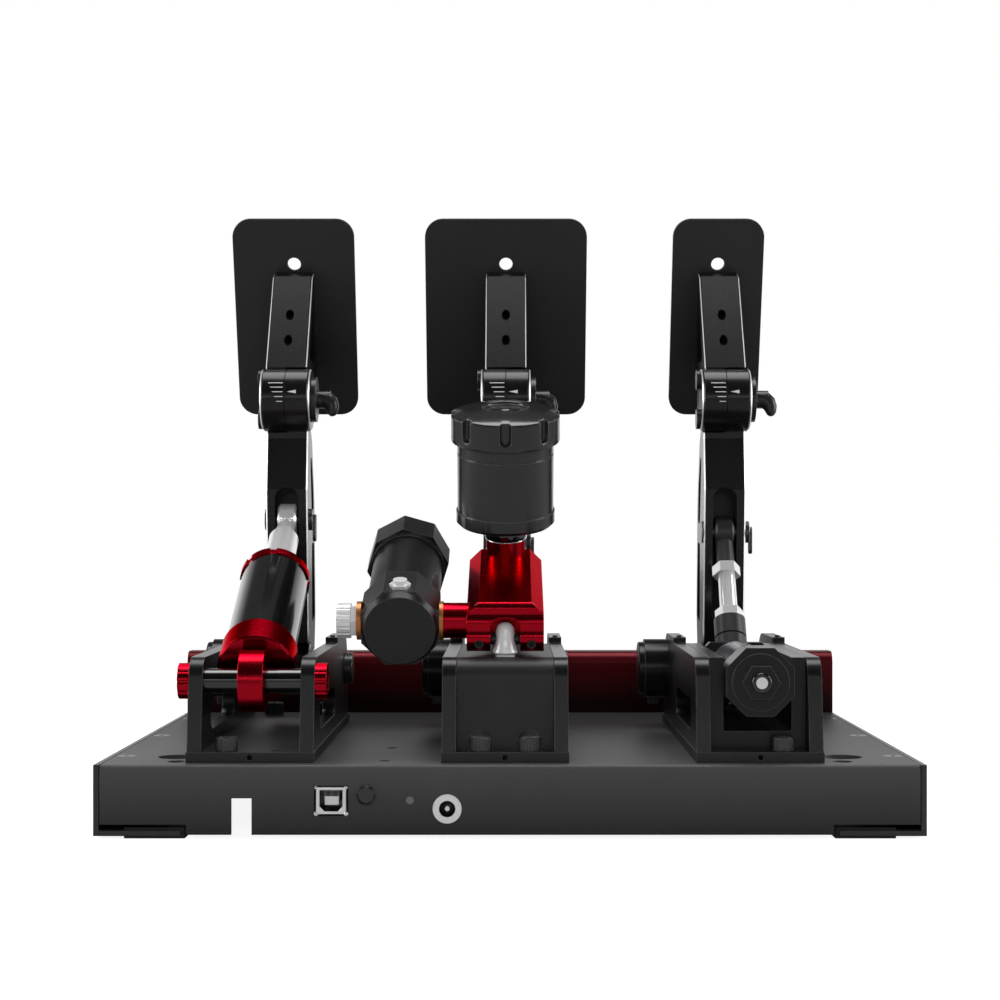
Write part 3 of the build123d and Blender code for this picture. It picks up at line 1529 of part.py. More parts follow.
# End cap of the pressure cylinder
def make_pressure_cap():
    cap_start = line_tube_length
    with BuildPart() as pressure_cap:
        with BuildSketch(pressure_plane(cap_start)):
            RegularPolygon(line_cap_across / 2, 8, major_radius=False, rotation=line_cap_turn)
        extrude(amount=line_cap_length)
        with BuildSketch(pressure_plane(cap_start - line_cap_bead)):
            Circle(line_cap_bead_radius)
            Circle(line_tube_radius, mode=Mode.SUBTRACT)
        extrude(amount=line_cap_bead)
    return pressure_cap


banjo_left = line_x - line_block_across / 2
banjo_right = -master_width / 2 - master_boss_reach


# Cross bolt with its knurled knob, and the bleed screw on the head block
def make_banjo_bolt():
    centre = banjo_centre()
    knob_x = banjo_left - washer_sheet - banjo_head_width
    with BuildPart() as banjo_bolt:
        with BuildSketch(Plane.YZ.offset(brake_x + knob_x)):
            with Locations((centre.Y, centre.Z)):
                Circle(banjo_radius)
        extrude(amount=banjo_right - knob_x)
        with BuildSketch(Plane.YZ.offset(brake_x + knob_x)):
            with Locations((centre.Y, centre.Z)):
                RegularPolygon(banjo_head_across / 2, 6, major_radius=False)
        extrude(amount=banjo_head_width)
        with BuildSketch(Plane.YZ.offset(brake_x + knob_x)):
            with Locations((centre.Y, centre.Z)):
                Circle(banjo_knob_radius)
                with PolarLocations(banjo_knob_radius + banjo_knob_flute_radius / 2, banjo_knob_flutes):
                    Circle(banjo_knob_flute_radius, mode=Mode.SUBTRACT)
        extrude(amount=-banjo_knob_width)
        with BuildSketch(bleed_plane()):
            RegularPolygon(bleed_hex_across / 2, 6, major_radius=False)
        extrude(amount=bleed_height / 2)
        with BuildSketch(bleed_plane()):
            Circle(bleed_radius)
        extrude(amount=bleed_height)
    return banjo_bolt


def make_copper_washers():
    centre = banjo_centre()
    block_right = line_x + line_block_across / 2
    with BuildPart() as copper_washers:
        for start, length in ((banjo_left - washer_sheet, washer_sheet), (block_right, banjo_right - block_right)):
            with BuildSketch(Plane.YZ.offset(brake_x + start)):
                with Locations((centre.Y, centre.Z)):
                    Circle(washer_radius)
                    Circle(banjo_radius, mode=Mode.SUBTRACT)
            extrude(amount=length)
    return copper_washers


# Lines of the clutch spring unit
clutch_x = unit_x["clutch"]
clutch_pin_z = pivot_z + clutch_pin_rise
guide_z = deck_height + guide_rise
ball_z = deck_height + ball_rise
clutch_slope = degrees(atan2(clutch_pin_z - ball_z, pin_y - carriage_y))
clutch_span = hypot(pin_y - carriage_y, clutch_pin_z - ball_z)
seat_front_y = bracket_front_y + seat_front_inset
seat_rear_y = seat_front_y + seat_length
spring_end_y = carriage_y - carriage_front_reach


# Inner frame: a U-shaped trough between the side plates
def make_clutch_frame():
    half = side_inner - frame_margin
    front = bracket_front_y + frame_front_inset
    wall_height = side_top - bracket_top
    with BuildPart() as clutch_frame:
        with BuildSketch(Plane.XZ.offset(-front)):
            with Locations((clutch_x, bracket_top + wall_height / 2)):
                Rectangle(2 * half, wall_height)
            with Locations((clutch_x, bracket_top + frame_floor + wall_height / 2)):
                Rectangle(2 * (half - frame_wall), wall_height, mode=Mode.SUBTRACT)
        extrude(amount=-frame_depth)
    return clutch_frame


# Spring seat: the eight-sided end block in front, with its disc and hexagon
def make_spring_seat():
    with BuildPart() as spring_seat:
        with BuildSketch(Plane.XZ.offset(-seat_front_y)):
            with Locations((clutch_x, guide_z)):
                RegularPolygon(seat_across / 2, 8, major_radius=False, rotation=22.5)
        extrude(amount=-seat_length)
        with BuildSketch(Plane.XZ.offset(-seat_front_y)):
            with Locations((clutch_x, guide_z)):
                Circle(seat_disc_radius)
        extrude(amount=seat_disc_height)
        with BuildSketch(Plane.XZ.offset(-seat_front_y + seat_disc_height)):
            with Locations((clutch_x, guide_z)):
                RegularPolygon(seat_hex_across / 2, 6, major_radius=False)
        extrude(amount=seat_hex_height)
        with BuildSketch(Plane.XZ.offset(-seat_front_y + seat_disc_height + seat_hex_height)):
            with Locations((clutch_x, guide_z)):
                Circle(guide_radius + running_gap)
        extrude(amount=-(seat_length + seat_disc_height + seat_hex_height), mode=Mode.SUBTRACT)
    return spring_seat


# Guide shaft through the spring, which slides in the seat
def make_guide_shaft():
    start = seat_front_y - seat_disc_height - seat_hex_height - guide_proud
    end = spring_end_y + carriage_wall
    with BuildPart() as guide_shaft:
        with BuildSketch(Plane.XZ.offset(-start)):
            with Locations((clutch_x, guide_z)):
                Circle(guide_radius)
        extrude(amount=-(end - start))
    return guide_shaft


# Coil spring between the seat and the carriage
def make_clutch_spring():
    margin = spring_wire_radius + touch_gap
    low = seat_rear_y + margin
    high = spring_end_y - margin
    pitch = (high - low) / spring_turns
    with BuildPart() as clutch_spring:
        with BuildLine():
            coil = Helix(
                pitch,
                high - low,
                spring_radius,
                center=(clutch_x, low, guide_z),
                direction=(0, 1, 0),
            )
        with BuildSketch(Plane(origin=coil @ 0, z_dir=coil % 0)):
            RegularPolygon(spring_wire_radius, 8)
        sweep(is_frenet=True)
    print("spring: least gap between turns", round(pitch - 2 * spring_wire_radius, 2))
    return clutch_spring


# Carriage: a wall behind the spring and a block with the ball for the push rod
def make_clutch_carriage():
    low_z = guide_z - carriage_height / 2
    with BuildPart() as clutch_carriage:
        with BuildSketch(Plane.XZ.offset(-spring_end_y)) as wall:
            with Locations((clutch_x, guide_z)):
                Rectangle(carriage_width, carriage_height)
            chamfer(wall.vertices(), spring_wire_radius)
            with Locations((clutch_x, guide_z)):
                Circle(guide_radius, mode=Mode.SUBTRACT)
        extrude(amount=-carriage_wall)
        with BuildSketch(Plane.XZ.offset(-spring_end_y - carriage_wall)):
            with Locations((clutch_x, low_z + carriage_block_height / 2)):
                Rectangle(carriage_width - 2 * spring_wire_radius, carriage_block_height)
        extrude(amount=-(carriage_front_reach - carriage_wall + carriage_rear_reach))
        with BuildSketch(Plane((clutch_x, carriage_y, low_z))):
            Circle(ball_neck_radius)
        extrude(amount=ball_z - low_z)
        with Locations((clutch_x, carriage_y, ball_z)):
            Sphere(ball_radius)
    return clutch_carriage


def clutch_plane(along):
    """A plane across the clutch push rod at a distance from its ball."""
    slope = radians(clutch_slope)
    y = carriage_y + along * cos(slope)
    z = ball_z + along * sin(slope)
    return line_plane(clutch_x, y, z, clutch_slope)


# Push rod: socket, shank, two nuts and the upper shank
def make_clutch_push_rod():
    end = clutch_span - clutch_end_reach
    with BuildPart() as clutch_push_rod:
        with BuildSketch(clutch_plane(socket_lip)):
            Circle(socket_radius)
        extrude(amount=socket_length - socket_lip)
        with Locations(clutch_plane(0)):
            Sphere(ball_radius + touch_gap, mode=Mode.SUBTRACT)
        with BuildSketch(clutch_plane(socket_length / 2)):
            Circle(socket_radius + overrun)
            Circle(socket_radius - socket_groove, mode=Mode.SUBTRACT)
        extrude(amount=socket_groove, mode=Mode.SUBTRACT)
        with BuildSketch(clutch_plane(socket_length)):
            Circle(clutch_rod_radius)
        extrude(amount=end - socket_length)
        for nut_start in (socket_length, end - clutch_nut_width):
            with BuildSketch(clutch_plane(nut_start)):
                RegularPolygon(clutch_nut_across / 2, 6, major_radius=False)
            extrude(amount=clutch_nut_width)
        add(make_rod_end(clutch_x, pin_y, clutch_pin_z, clutch_slope, clutch_end_slack, clutch_end_reach))
    return clutch_push_rod


def build_everything():
    save(make_deck_plate().part, "deck_plate")
    save(make_side_rail(-1).part, "side_rail_left")
    save(make_side_rail(1).part, "side_rail_right")
    save(make_rubber_feet().part, "rubber_feet")
    save(make_base_screws().part, "base_screws")
    save(make_heel_bar().part, "heel_bar")
    save(make_data_socket().part, "data_socket")
    save(make_power_socket().part, "power_socket")
    save(make_pair_button().part, "pair_button")
    save(make_status_lamp().part, "status_lamp")
    save(make_controller_board().part, "controller_board")
    save(make_bracket_screws().part, "bracket_screws")
    save(make_pivot_bearings().part, "pivot_bearings")
    save(make_angle_sensors().part, "angle_sensors")
    for pedal in pedals:
        save(make_base_plate(pedal).part, f"{pedal}_base_plate")
        save(make_side_plate(pedal, -1).part, f"{pedal}_side_plate_left")
        save(make_side_plate(pedal, 1).part, f"{pedal}_side_plate_right")
        save(make_pins(pedal).part, f"{pedal}_pins")
        save(make_arm(pedal).part, f"{pedal}_arm")
        save(make_face_arm(pedal).part, f"{pedal}_face_arm")
        save(make_face_plate(pedal).part, f"{pedal}_face_plate")
        save(make_face_screws(pedal).part, f"{pedal}_face_screws")
    save(make_damper_shaft().part, "damper_shaft")
    save(make_damper_nuts().part, "damper_nuts")
    save(make_damper_strut().part, "damper_strut")
    save(make_damper_tube().part, "damper_tube")
    save(make_damper_ring().part, "damper_ring")
    save(make_damper_rod().part, "damper_rod")
    save(make_brake_bridge().part, "brake_bridge")
    save(make_mounting_stud().part, "mounting_stud")
    save(make_master_cylinder().part, "master_cylinder")
    save(make_brake_push_rod().part, "brake_push_rod")
    save(make_reservoir().part, "reservoir")
    save(make_reservoir_cap().part, "reservoir_cap")
    save(make_pressure_cylinder().part, "pressure_cylinder")
    save(make_pressure_cap().part, "pressure_cylinder_cap")
    save(make_banjo_bolt().part, "banjo_bolt")
    save(make_copper_washers().part, "copper_washers")
    save(make_clutch_frame().part, "clutch_frame")
    save(make_spring_seat().part, "clutch_spring_seat")
    save(make_guide_shaft().part, "clutch_guide_shaft")
    save(make_clutch_spring().part, "clutch_spring")
    save(make_clutch_carriage().part, "clutch_carriage")
    save(make_clutch_push_rod().part, "clutch_push_rod")


build_everything()
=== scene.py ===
import json
from math import cos, hypot, pi, radians, sin

import bpy
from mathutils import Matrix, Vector


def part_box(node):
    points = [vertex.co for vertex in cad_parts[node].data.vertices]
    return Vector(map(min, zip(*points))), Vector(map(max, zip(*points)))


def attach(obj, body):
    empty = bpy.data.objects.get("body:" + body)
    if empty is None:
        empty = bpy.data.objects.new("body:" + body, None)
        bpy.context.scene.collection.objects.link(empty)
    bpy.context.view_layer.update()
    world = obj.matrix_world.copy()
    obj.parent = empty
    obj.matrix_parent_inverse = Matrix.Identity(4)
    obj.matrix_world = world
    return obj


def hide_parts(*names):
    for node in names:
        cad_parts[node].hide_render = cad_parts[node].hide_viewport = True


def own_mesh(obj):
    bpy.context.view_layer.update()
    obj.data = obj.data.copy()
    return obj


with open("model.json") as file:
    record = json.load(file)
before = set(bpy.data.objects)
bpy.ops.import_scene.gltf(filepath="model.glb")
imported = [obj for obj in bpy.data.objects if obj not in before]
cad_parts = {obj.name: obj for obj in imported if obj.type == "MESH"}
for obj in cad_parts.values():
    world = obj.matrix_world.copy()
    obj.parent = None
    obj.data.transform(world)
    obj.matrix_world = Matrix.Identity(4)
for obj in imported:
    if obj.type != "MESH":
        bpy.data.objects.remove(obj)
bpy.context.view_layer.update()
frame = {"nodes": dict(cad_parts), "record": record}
nodes = frame["nodes"]
joints = {joint["name"]: joint for joint in frame["record"]["behaviour"]["joints"]}

MM = 0.001
PEDALS = ("throttle", "brake", "clutch")
ALONG_X = (1.0, 0.0, 0.0)
ALONG_Y = (0.0, 1.0, 0.0)
ALONG_Z = (0.0, 0.0, 1.0)
PANEL_Y = -0.1450
MASTER_SLOPE = radians(17.044)
BEVEL_SAMPLES = 4
COAT_ROUGHNESS = 0.08
TONE_SCALE = 60.0
GRAIN_DETAIL = 3.0


# Node helpers
def connect(tree, value, socket):
    """Links a node's output to a socket, or writes a constant on it."""
    if isinstance(value, bpy.types.NodeSocket):
        tree.links.new(value, socket)
    elif value is not None:
        socket.default_value = (*value, 1.0) if socket.type == "RGBA" else value


def source_of(socket):
    return socket.links[0].from_socket


def shader_of(material):
    return next(node for node in material.node_tree.nodes if node.type == "BSDF_PRINCIPLED")


def object_place(tree):
    return tree.nodes.new("ShaderNodeTexCoord").outputs["Object"]


def axes_of(tree, vector):
    parts = tree.nodes.new("ShaderNodeSeparateXYZ")
    tree.links.new(vector, parts.inputs["Vector"])
    return parts.outputs


def math_node(tree, operation, first, second=None):
    node = tree.nodes.new("ShaderNodeMath")
    node.operation = operation
    for slot, value in enumerate((first, second)):
        connect(tree, value, node.inputs[slot])
    return node.outputs["Value"]


def vector_math(tree, operation, first, second=None):
    """The outputs of a vector operation: Vector for a direction, Value for a length or a product."""
    node = tree.nodes.new("ShaderNodeVectorMath")
    node.operation = operation
    for slot, value in enumerate((first, second)):
        connect(tree, value, node.inputs[slot])
    return node.outputs


def blend(tree, kind, factor, low, high):
    """A value that turns from low to high: kind is RGBA for a colour and FLOAT for a number."""
    node = tree.nodes.new("ShaderNodeMix")
    node.data_type = kind
    for name, value in (("Factor", factor), ("A", low), ("B", high)):
        connect(tree, value, node.inputs[name])
    return node.outputs["Result"]


def spread(tree, value, low, high, start=0.3, end=0.7):
    """Maps a stretch of a value, by itself the middle of a noise, onto a range."""
    node = tree.nodes.new("ShaderNodeMapRange")
    for name, number in (("From Min", start), ("From Max", end), ("To Min", low), ("To Max", high)):
        node.inputs[name].default_value = number
    tree.links.new(value, node.inputs["Value"])
    return node.outputs["Result"]


def between(tree, value, low, high):
    """One where a value lies between two bounds, and nothing elsewhere."""
    above = math_node(tree, "GREATER_THAN", value, low)
    below = math_node(tree, "LESS_THAN", value, high)
    return math_node(tree, "MULTIPLY", above, below)


def noise(tree, scale, detail=4.0):
    texture = tree.nodes.new("ShaderNodeTexNoise")
    texture.inputs["Scale"].default_value = scale
    texture.inputs["Detail"].default_value = detail
    tree.links.new(object_place(tree), texture.inputs["Vector"])
    return texture.outputs["Fac"]


def rounded_normal(tree, radius):
    bevel = tree.nodes.new("ShaderNodeBevel")
    bevel.samples = BEVEL_SAMPLES
    bevel.inputs["Radius"].default_value = radius
    return bevel.outputs["Normal"]


def edge_wear(tree, radius):
    """One on sharp edges and nothing on flat ground, from how far the rounded normal turns away."""
    geometry = tree.nodes.new("ShaderNodeNewGeometry")
    turned = vector_math(tree, "DOT_PRODUCT", rounded_normal(tree, radius), geometry.outputs["Normal"])
    return spread(tree, turned["Value"], 1.0, 0.0, 0.80, 0.97)


def bump(tree, height, distance, normal):
    node = tree.nodes.new("ShaderNodeBump")
    node.inputs["Strength"].default_value = 1.0
    node.inputs["Distance"].default_value = distance
    tree.links.new(height, node.inputs["Height"])
    tree.links.new(normal, node.inputs["Normal"])
    return node.outputs["Normal"]


# Finishes
def new_material(name):
    material = bpy.data.materials.new(name)
    material.use_nodes = True
    tree = material.node_tree
    tree.nodes.clear()
    output = tree.nodes.new("ShaderNodeOutputMaterial")
    shader = tree.nodes.new("ShaderNodeBsdfPrincipled")
    tree.links.new(shader.outputs["BSDF"], output.inputs["Surface"])
    return material, tree, shader


def copied(source, name):
    material = source.copy()
    material.name = name
    return material, material.node_tree, shader_of(material)


light_tones = {}


def finish_material(name, dark, light, metallic, rough, grain, grain_depth, edge, wear=None,
                    specular=0.5, coat=0.0, tint=(1.0, 1.0, 1.0)):
    """Two close tones, uneven gloss, fine grain in relief and softened edges; grain_depth and edge are in mm."""
    material, tree, shader = new_material(name)
    shader.inputs["Metallic"].default_value = metallic
    shader.inputs["Specular IOR Level"].default_value = specular
    shader.inputs["Specular Tint"].default_value = (*tint, 1.0)
    shader.inputs["Coat Weight"].default_value = coat
    shader.inputs["Coat Roughness"].default_value = COAT_ROUGHNESS
    tone = blend(tree, "RGBA", noise(tree, TONE_SCALE), dark, light)
    if wear:
        tone = blend(tree, "RGBA", edge_wear(tree, edge * MM), tone, wear)
    tree.links.new(tone, shader.inputs["Base Color"])
    fine = noise(tree, grain, GRAIN_DETAIL)
    tree.links.new(spread(tree, fine, *rough), shader.inputs["Roughness"])
    tree.links.new(bump(tree, fine, grain_depth * MM, rounded_normal(tree, edge * MM)), shader.inputs["Normal"])
    light_tones[material.name] = light
    return material


def with_painted_shade(name, source, axis, low, high, tone):
    """The same surface, with painted shade: another tone painted towards one end of an axis."""
    material, tree, shader = copied(source, name)
    painted_shade_amount = spread(tree, axes_of(tree, object_place(tree))[axis], 1.0, 0.0, low, high)
    base = blend(tree, "RGBA", painted_shade_amount, source_of(shader.inputs["Base Color"]), tone)
    tree.links.new(base, shader.inputs["Base Color"])
    return material


def ridged(name, source, ridges, front_y, depth):
    """The same surface with soft ridges across the part of it that lies in front of a plane."""
    material, tree, shader = copied(source, name)
    parts = axes_of(tree, object_place(tree))
    height = None
    for centre, half_width in ridges:
        off_centre = math_node(tree, "DIVIDE", math_node(tree, "SUBTRACT", parts["Z"], centre), half_width)
        square = math_node(tree, "MULTIPLY", off_centre, off_centre)
        crown = math_node(tree, "MAXIMUM", math_node(tree, "SUBTRACT", 1.0, square), 0.0)
        height = crown if height is None else math_node(tree, "MAXIMUM", height, crown)
    height = math_node(tree, "MULTIPLY", height, math_node(tree, "LESS_THAN", parts["Y"], front_y))
    relief = bump(tree, height, depth, source_of(shader.inputs["Normal"]))
    tree.links.new(relief, shader.inputs["Normal"])
    return material


def two_zone(name, inner, outer, mask_of):
    """The outer finish, and the inner one's tone and metal where a mask worked out from the place is one."""
    inner_roughness = 0.38
    material, tree, shader = copied(outer, name)
    mask = mask_of(tree, object_place(tree))
    base = blend(tree, "RGBA", mask, source_of(shader.inputs["Base Color"]), light_tones[inner.name])
    tree.links.new(base, shader.inputs["Base Color"])
    metal = blend(tree, "FLOAT", mask, shader.inputs["Metallic"].default_value,
                  shader_of(inner).inputs["Metallic"].default_value)
    tree.links.new(metal, shader.inputs["Metallic"])
    gloss = blend(tree, "FLOAT", mask, source_of(shader.inputs["Roughness"]), inner_roughness)
    tree.links.new(gloss, shader.inputs["Roughness"])
    return material


coat_black = finish_material("powder_coat_black", (0.014, 0.014, 0.015), (0.020, 0.020, 0.021), 0.0,
                             (0.30, 0.40), 1400.0, 0.002, edge=0.8)
anodised_black = finish_material("anodised_black", (0.003, 0.003, 0.004), (0.006, 0.006, 0.007), 0.0,
                                 (0.26, 0.36), 2600.0, 0.0008, edge=0.4, wear=(0.13, 0.13, 0.13), specular=0.38)
blasted_black = finish_material("blasted_black", (0.008, 0.008, 0.009), (0.016, 0.016, 0.017), 0.0,
                                (0.36, 0.50), 1800.0, 0.005, edge=0.4, wear=(0.10, 0.10, 0.10), specular=0.40)
milled_black = finish_material("milled_black", (0.004, 0.004, 0.005), (0.007, 0.007, 0.008), 0.0,
                               (0.20, 0.28), 2600.0, 0.0004, edge=0.15, specular=0.30, coat=0.05)
cut_edge = finish_material("cut_edge", (0.70, 0.70, 0.71), (0.82, 0.82, 0.83), 0.8,
                           (0.20, 0.28), 2600.0, 0.0006, edge=0.15)
plate_black = finish_material("plate_black", (0.008, 0.008, 0.009), (0.012, 0.012, 0.013), 0.0,
                              (0.40, 0.50), 1800.0, 0.002, edge=0.5, specular=0.40)
gloss_black = finish_material("gloss_black", (0.002, 0.002, 0.002), (0.004, 0.004, 0.004), 0.0,
                              (0.12, 0.18), 900.0, 0.0004, edge=0.3, coat=0.6)
plastic_black = finish_material("plastic_black", (0.004, 0.004, 0.005), (0.008, 0.008, 0.009), 0.0,
                                (0.20, 0.28), 2200.0, 0.0008, edge=0.4, wear=(0.12, 0.12, 0.12), specular=0.32)
anodised_red = finish_material("anodised_red", (0.36, 0.004, 0.013), (0.44, 0.006, 0.017), 1.0,
                               (0.22, 0.28), 1900.0, 0.0004, edge=0.4, wear=(0.70, 0.02, 0.04),
                               tint=(1.0, 0.26, 0.30))
painted_red = finish_material("painted_red", (0.075, 0.001, 0.003), (0.095, 0.001, 0.005), 0.60,
                              (0.30, 0.42), 1500.0, 0.002, edge=0.8, wear=(0.30, 0.01, 0.02), specular=0.3)
steel = finish_material("bright_steel", (0.70, 0.70, 0.71), (0.76, 0.76, 0.77), 0.35,
                        (0.27, 0.33), 1500.0, 0.0003, edge=0.3)
dark_steel = finish_material("dark_steel", (0.060, 0.060, 0.065), (0.110, 0.110, 0.115), 0.8,
                             (0.24, 0.36), 1500.0, 0.0008, edge=0.3, wear=(0.60, 0.60, 0.60))
spring_steel = finish_material("spring_steel", (0.10, 0.10, 0.11), (0.17, 0.17, 0.18), 1.0,
                               (0.24, 0.34), 1500.0, 0.0008, edge=0.2)
chrome = finish_material("chrome", (0.82, 0.82, 0.83), (0.88, 0.88, 0.89), 0.55,
                         (0.08, 0.12), 900.0, 0.0002, edge=0.3)
screw_black = finish_material("screw_black", (0.012, 0.012, 0.013), (0.026, 0.026, 0.027), 0.3,
                              (0.24, 0.36), 1500.0, 0.001, edge=0.25, wear=(0.34, 0.34, 0.34))
copper = finish_material("copper", (0.38, 0.13, 0.040), (0.50, 0.19, 0.060), 0.7,
                         (0.28, 0.40), 1500.0, 0.001, edge=0.3)
rubber = finish_material("rubber", (0.010, 0.010, 0.010), (0.016, 0.016, 0.016), 0.0,
                         (0.62, 0.78), 1200.0, 0.010, edge=0.4, specular=0.25)
reservoir_black = finish_material("reservoir_black", (0.010, 0.010, 0.011), (0.016, 0.016, 0.017), 0.0,
                                  (0.14, 0.20), 2200.0, 0.0008, edge=0.5, wear=(0.14, 0.14, 0.14))
lens = finish_material("lamp_lens", (0.10, 0.10, 0.11), (0.14, 0.14, 0.15), 0.0,
                       (0.18, 0.28), 500.0, 0.001, edge=0.3)
board_green = finish_material("board_green", (0.010, 0.050, 0.028), (0.014, 0.070, 0.036), 0.0,
                              (0.28, 0.40), 900.0, 0.004, edge=0.2)
print_white = finish_material("print_white", (0.52, 0.52, 0.52), (0.66, 0.66, 0.66), 0.0,
                              (0.45, 0.60), 1500.0, 0.001, edge=0.05, specular=0.2)

LUG_RIDGES = [(0.0790, 0.0034), (0.0864, 0.0042), (0.0930, 0.0026)]
LUG_FRONT_Y = -0.1185
# Tone of the painted shade on the deck
DECK_PAINTED_SHADE = (0.012, 0.012, 0.013)
master_red = ridged("master_red", anodised_red, LUG_RIDGES, LUG_FRONT_Y, 1.1 * MM)
# Heel bar with painted shade, darker towards its lower edge
heel_red_painted_shade = with_painted_shade("heel_red_painted_shade", painted_red, "Z", 0.036, 0.060, (0.010, 0.0005, 0.001))
deck_upper = finish_material("deck_coat_upper", (0.048, 0.048, 0.050), (0.058, 0.058, 0.060), 0.0,
                             (0.42, 0.52), 1400.0, 0.002, edge=0.8, specular=0.4)
# Deck with painted shade, darker towards the bottom of its front panel
deck_front_painted_shade = with_painted_shade("deck_coat_front_painted_shade", deck_upper, "Z", 0.002, 0.028, DECK_PAINTED_SHADE)
# More painted shade, darker towards the back of the deck
deck_coat = with_painted_shade("deck_coat", deck_front_painted_shade, "Y", 0.10, -0.10, DECK_PAINTED_SHADE)


# Masks worked out from the place on the object
def middle(name):
    low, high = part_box(name)
    return [(a + b) / 2 for a, b in zip(low, high)]


def distance_to_line(tree, place, point, axis):
    """How far a place is from a line through a point."""
    offset = vector_math(tree, "SUBTRACT", place, point)["Vector"]
    return vector_math(tree, "LENGTH", vector_math(tree, "CROSS_PRODUCT", offset, axis)["Vector"])["Value"]


def distance_along(tree, place, point, axis):
    """How far along a direction a place lies from a point."""
    offset = vector_math(tree, "SUBTRACT", place, point)["Vector"]
    return vector_math(tree, "DOT_PRODUCT", offset, axis)["Value"]


def ring_mask(tree, place):
    """The dark insulator between the power socket's pin and its ring."""
    pin_radius = 1.15 * MM
    ring_radius = 3.35 * MM
    return between(tree, distance_to_line(tree, place, middle("power_socket"), ALONG_Y), pin_radius, ring_radius)


def cut_mask(middle_x):
    """The machined chamfers along a pedal's outer edges, found from how their faces are turned."""
    least_turn, most_turn = 0.45, 0.90
    arm_edge, arm_side = 9.35 * MM, 10.1 * MM
    knuckle_edge = 11.2 * MM

    def mask_of(tree, place):
        geometry = tree.nodes.new("ShaderNodeNewGeometry")
        turn = math_node(tree, "ABSOLUTE", axes_of(tree, geometry.outputs["True Normal"])["X"])
        turned = between(tree, turn, least_turn, most_turn)
        offset = math_node(tree, "ABSOLUTE", math_node(tree, "SUBTRACT", axes_of(tree, place)["X"], middle_x))
        along_arm = between(tree, offset, arm_edge, arm_side)
        on_knuckle = math_node(tree, "GREATER_THAN", offset, knuckle_edge)
        return math_node(tree, "MULTIPLY", turned, math_node(tree, "MAXIMUM", along_arm, on_knuckle))
    return mask_of


def rod_mask(tree, place):
    """The dark ends of the clutch's push rod, on both sides of its bright middle."""
    link_pin_y, link_pin_z = 0.012, 0.125
    socket_end, link_end = 21.0 * MM, 19.9 * MM
    ball = Vector(joints["clutch_rod_swing"]["pos_m"])
    line = Vector((ball.x, link_pin_y, link_pin_z)) - ball
    along = distance_along(tree, place, ball, line.normalized())
    return math_node(tree, "SUBTRACT", 1.0, between(tree, along, socket_end, line.length - link_end))


power_ring = two_zone("power_ring", plastic_black, steel, ring_mask)
clutch_rod_finish = two_zone("clutch_rod_finish", screw_black, chrome, rod_mask)

node_looks = {
    deck_coat: ["deck_plate"],
    coat_black: ["side_rail_left", "side_rail_right"],
    anodised_black: ["clutch_frame", "clutch_spring_seat", "clutch_carriage",
                     "pressure_cylinder", "pressure_cylinder_cap"]
    + [f"{p}_{n}" for p in PEDALS for n in ("side_plate_left", "side_plate_right")],
    blasted_black: ["brake_bridge"] + [f"{p}_base_plate" for p in PEDALS],
    plate_black: [f"{p}_face_plate" for p in PEDALS],
    gloss_black: ["damper_tube", "damper_shaft", "pair_button", "pivot_bearings"],
    anodised_red: ["damper_nuts", "damper_strut", "damper_ring"],
    master_red: ["master_cylinder"],
    heel_red_painted_shade: ["heel_bar"],
    steel: ["clutch_guide_shaft", "banjo_bolt", "data_socket", "mounting_stud"],
    power_ring: ["power_socket"],
    dark_steel: [f"{p}_pins" for p in PEDALS],
    chrome: ["damper_rod", "brake_push_rod"],
    clutch_rod_finish: ["clutch_push_rod"],
    screw_black: ["base_screws", "bracket_screws"] + [f"{p}_face_screws" for p in PEDALS],
    copper: ["copper_washers"],
    rubber: ["rubber_feet"],
    plastic_black: ["angle_sensors"],
    reservoir_black: ["reservoir", "reservoir_cap"],
    lens: ["status_lamp"],
    board_green: ["controller_board"],
    spring_steel: ["clutch_spring"],
}
for pedal in PEDALS:
    pedal_finish = two_zone(f"milled_black_{pedal}", cut_edge, milled_black,
                            cut_mask(joints[f"{pedal}_tilt"]["pos_m"][0]))
    node_looks[pedal_finish] = [f"{pedal}_arm", f"{pedal}_face_arm"]
for material, names in node_looks.items():
    for name in names:
        node = nodes[name]
        if not node.material_slots:
            node.data.materials.append(material)
        for material_slot in node.material_slots:
            material_slot.material = material


# Mesh helpers
def piece_from(name, points, faces, material, body, smooth=False):
    """A piece from points and faces, that rides a body."""
    mesh = bpy.data.meshes.new(name)
    mesh.from_pydata([tuple(point) for point in points], [], faces)
    for polygon in mesh.polygons:
        polygon.use_smooth = smooth
    piece = bpy.data.objects.new(name, mesh)
    bpy.context.scene.collection.objects.link(piece)
    mesh.materials.append(material)
    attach(piece, body)
    return piece


def skinned(name, loops, material, body, caps=(), smooth=False):
    """A skin over a row of loops with equal counts of points, with a cap on each loop that caps names."""
    count = len(loops[0])
    points = [point for loop in loops for point in loop]
    faces = [(row * count + step, row * count + (step + 1) % count, (row + 1) * count + (step + 1) % count,
              (row + 1) * count + step) for row in range(len(loops) - 1) for step in range(count)]
    faces += [tuple(range(cap % len(loops) * count, (cap % len(loops) + 1) * count)) for cap in caps]
    return piece_from(name, points, faces, material, body, smooth)


def spun(name, profile, centre, axis, material, body, steps=48):
    """A turned piece: radius and height pairs in mm, spun round an axis."""
    turn = Vector(ALONG_Z).rotation_difference(Vector(axis)).to_matrix()
    loops = []
    for radius, height in profile:
        loop = []
        for step in range(steps):
            angle = 2 * pi * step / steps
            local = Vector((radius * MM * cos(angle), radius * MM * sin(angle), height * MM))
            loop.append(Vector(centre) + turn @ local)
        loops.append(loop)
    return skinned(name, loops, material, body, smooth=True)


